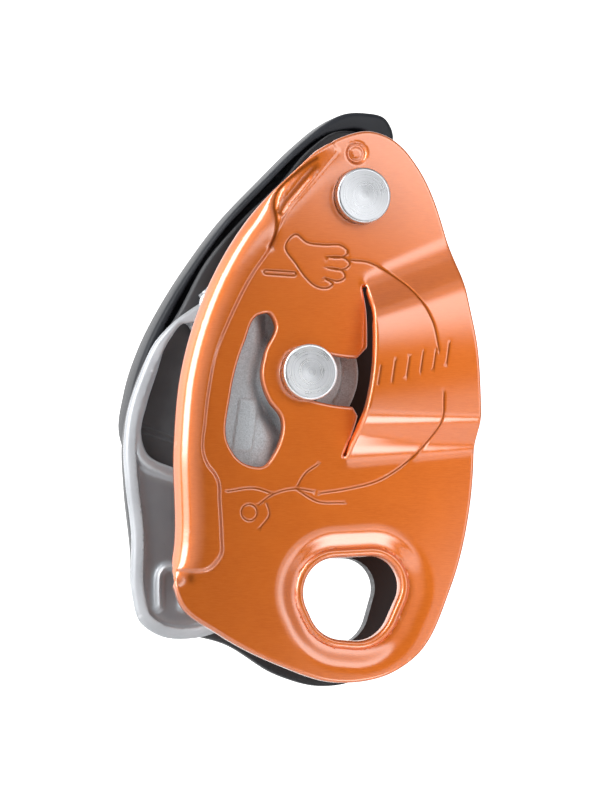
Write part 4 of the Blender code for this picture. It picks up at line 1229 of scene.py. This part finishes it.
fit(grip(), "handle", "black_nylon", "handle_grip")
fit(hub(), "handle", "satin_steel", "handle_hub")
fit(arm(), "handle", "satin_steel", "handle_arm")
for number, spot in enumerate(ARM_RIVETS, 1):
    fit(handle_rivet(number, spot), "handle", "turned_steel", f"handle_rivet_{number}")
fit(coil("handle_torsion_spring", CAM_AXLE, 7.5, 0.4, 12.3, 14.6, 1.6, 20.0, WIRE), "handle", "spring_steel",
    "handle_return_spring")


# ---------------------------------------------------------------- studio

LEFT_LIGHT = 2.0
RIGHT_LIGHT = 0.3
BACK_LIGHT = 1.7
FLAT_GLOW = 0.03
RIGHT_GLOW = 1.8
LEFT_GLOW = 0.5
TOP_GLOW = 2.4
LOW_GLOW = 1.25
CORNER_GLOW = 0.8
STREAK_BASE = 2.5
STREAK_TOP = 5.2
GLINT_GLOW = 4.5
CAMERA_TARGET = (-7.113, -0.486, 36.389)
CAMERA_AZIMUTH = -17
CAMERA_ELEVATION = -4
CAMERA_DISTANCE = 0.8
CAMERA_LENS = 196.1


def studio_world():
    """A cove: bright at the left and behind, dimmer at the right and overhead, plain white to the camera."""
    world = bpy.data.worlds.new("studio")
    bpy.context.scene.world = world
    n = Nodes("studio", world)
    axes = n.axes()
    left = n.ramp(n.times(axes["X"], -1.0), -0.5, 0.5)
    behind = n.ramp(axes["Y"], -0.1, 0.6)
    above = n.ramp(axes["Z"], 0.45, 0.9)
    side = n.plus(RIGHT_LIGHT, n.times(left, LEFT_LIGHT - RIGHT_LIGHT))
    power = n.plus(side, n.times(behind, n.minus(BACK_LIGHT, side)))
    power = n.times(power, n.minus(1.0, n.times(above, 0.75)))
    seen = n.node("LightPath").outputs["Is Camera Ray"]
    background = n.tree.nodes["Background"]
    n.put(background.inputs["Color"], (1.0, 1.0, 1.0))
    n.put(background.inputs["Strength"], n.math("MAXIMUM", power, n.times(seen, 1.05)))


def glow_panel(name, azimuth, distance, span, power):
    """A soft box, unseen by the camera, that faces the object; power(n, x, z) is its brightness."""
    x0, x1, z0, z1 = span
    mesh = bpy.data.meshes.new(name)
    mesh.from_pydata([(x0, 0, z0), (x1, 0, z0), (x1, 0, z1), (x0, 0, z1)], [], [(0, 1, 2, 3)])
    panel = link_object(name, mesh)
    a = math.radians(azimuth)
    panel.location = (distance * math.sin(a), -distance * math.cos(a), 0.0)
    panel.rotation_euler = (0.0, 0.0, a)
    panel.visible_camera = False
    n = Nodes(name)
    axes = n.axes()
    glow = n.node("Emission", (("Strength", power(n, axes["X"], axes["Z"])),))
    n.put(n.tree.nodes["Material Output"].inputs["Surface"], glow.outputs[0])
    mesh.materials.append(n.owner)


def front_power(n, x, z):
    """Bright round a dark middle, which the flat of the plate mirrors; each side has its own strength."""
    corner = n.minus(x, z)
    slant = n.plus(z, n.times(n.minus(x, 0.1), 0.5))
    sides = ((x, 0.140, 0.20, RIGHT_GLOW), (x, 0.04, -0.22, LEFT_GLOW), (slant, 0.088, 0.135, TOP_GLOW),
             (z, -0.015, -0.09, LOW_GLOW), (corner, 0.09, 0.118, CORNER_GLOW))
    power = FLAT_GLOW
    for value, near, far, strength in sides:
        if far < near:
            value, near, far = n.times(value, -1.0), -near, -far
        power = n.math("MAXIMUM", power, n.times(n.ramp(value, near, far), strength))
    dim = n.minus(1.0, n.times(n.ramp(z, 0.17, 0.32), 0.78))
    far_side = n.minus(1.0, n.times(n.ramp(x, 0.26, 0.40), 0.75))
    return n.times(n.times(power, dim), far_side)


def beside(n, value, near, far):
    """1 within near of zero, falling to 0 at far."""
    return n.minus(1.0, n.ramp(n.math("ABSOLUTE", value), near, far))


def edge_power(n, x, z):
    """A tall soft streak for the flange, stronger in its upper part."""
    high = n.ramp(z, 0.02, 0.08)
    return n.times(beside(n, x, 0.04, 0.085), n.plus(STREAK_BASE, n.times(high, STREAK_TOP)))


def glint_power(n, x, z):
    """A small soft spot low in front, for the upper side of the dish round the hole."""
    spot = n.times(beside(n, x, 0.015, 0.045), beside(n, n.plus(z, 0.07), 0.012, 0.035))
    return n.times(spot, GLINT_GLOW)


def studio_floor():
    mesh = bpy.data.meshes.new("studio_floor")
    bm = bmesh.new()
    bmesh.ops.create_circle(bm, cap_ends=True, segments=96, radius=0.6)
    bm.to_mesh(mesh)
    bm.free()
    floor = link_object("studio_floor", mesh)
    floor.location = (0.0, 0.0, -0.13)
    n = Nodes("floor_paper")
    tone = n.mix(n.band(n.noise(60.0, 2.0)), (0.80, 0.80, 0.80), (0.84, 0.84, 0.84))
    mesh.materials.append(n.out(tone, 0.8, n.bump(n.noise(1.2), 0.05, 0.2)))


def camera():
    """A long lens at the photograph's viewing angle."""
    data = bpy.data.cameras.new("photo_camera")
    data.lens = CAMERA_LENS
    data.sensor_width = 36.0
    data.clip_start = 0.01
    data.clip_end = 20.0
    cam = link_object("photo_camera", data)
    az, el = math.radians(CAMERA_AZIMUTH), math.radians(CAMERA_ELEVATION)
    back = Vector((math.sin(az) * math.cos(el), -math.cos(az) * math.cos(el), math.sin(el)))
    cam.location = Vector(CAMERA_TARGET) * MM + back * CAMERA_DISTANCE
    cam.rotation_euler = (-back).to_track_quat("-Z", "Y").to_euler()
    bpy.context.scene.camera = cam


studio_world()
glow_panel("front_panel", 0.0, 0.31, (-0.54, 0.42, -0.20, 0.50), front_power)
glow_panel("edge_strip", -65.0, 0.34, (-0.10, 0.10, -0.20, 0.60), edge_power)
glow_panel("low_glint", 21.0, 0.115, (-0.05, 0.05, -0.11, -0.03), glint_power)
studio_floor()
camera()
bpy.context.scene.view_settings.view_transform = "Standard"
bpy.context.scene.view_settings.look = "None"
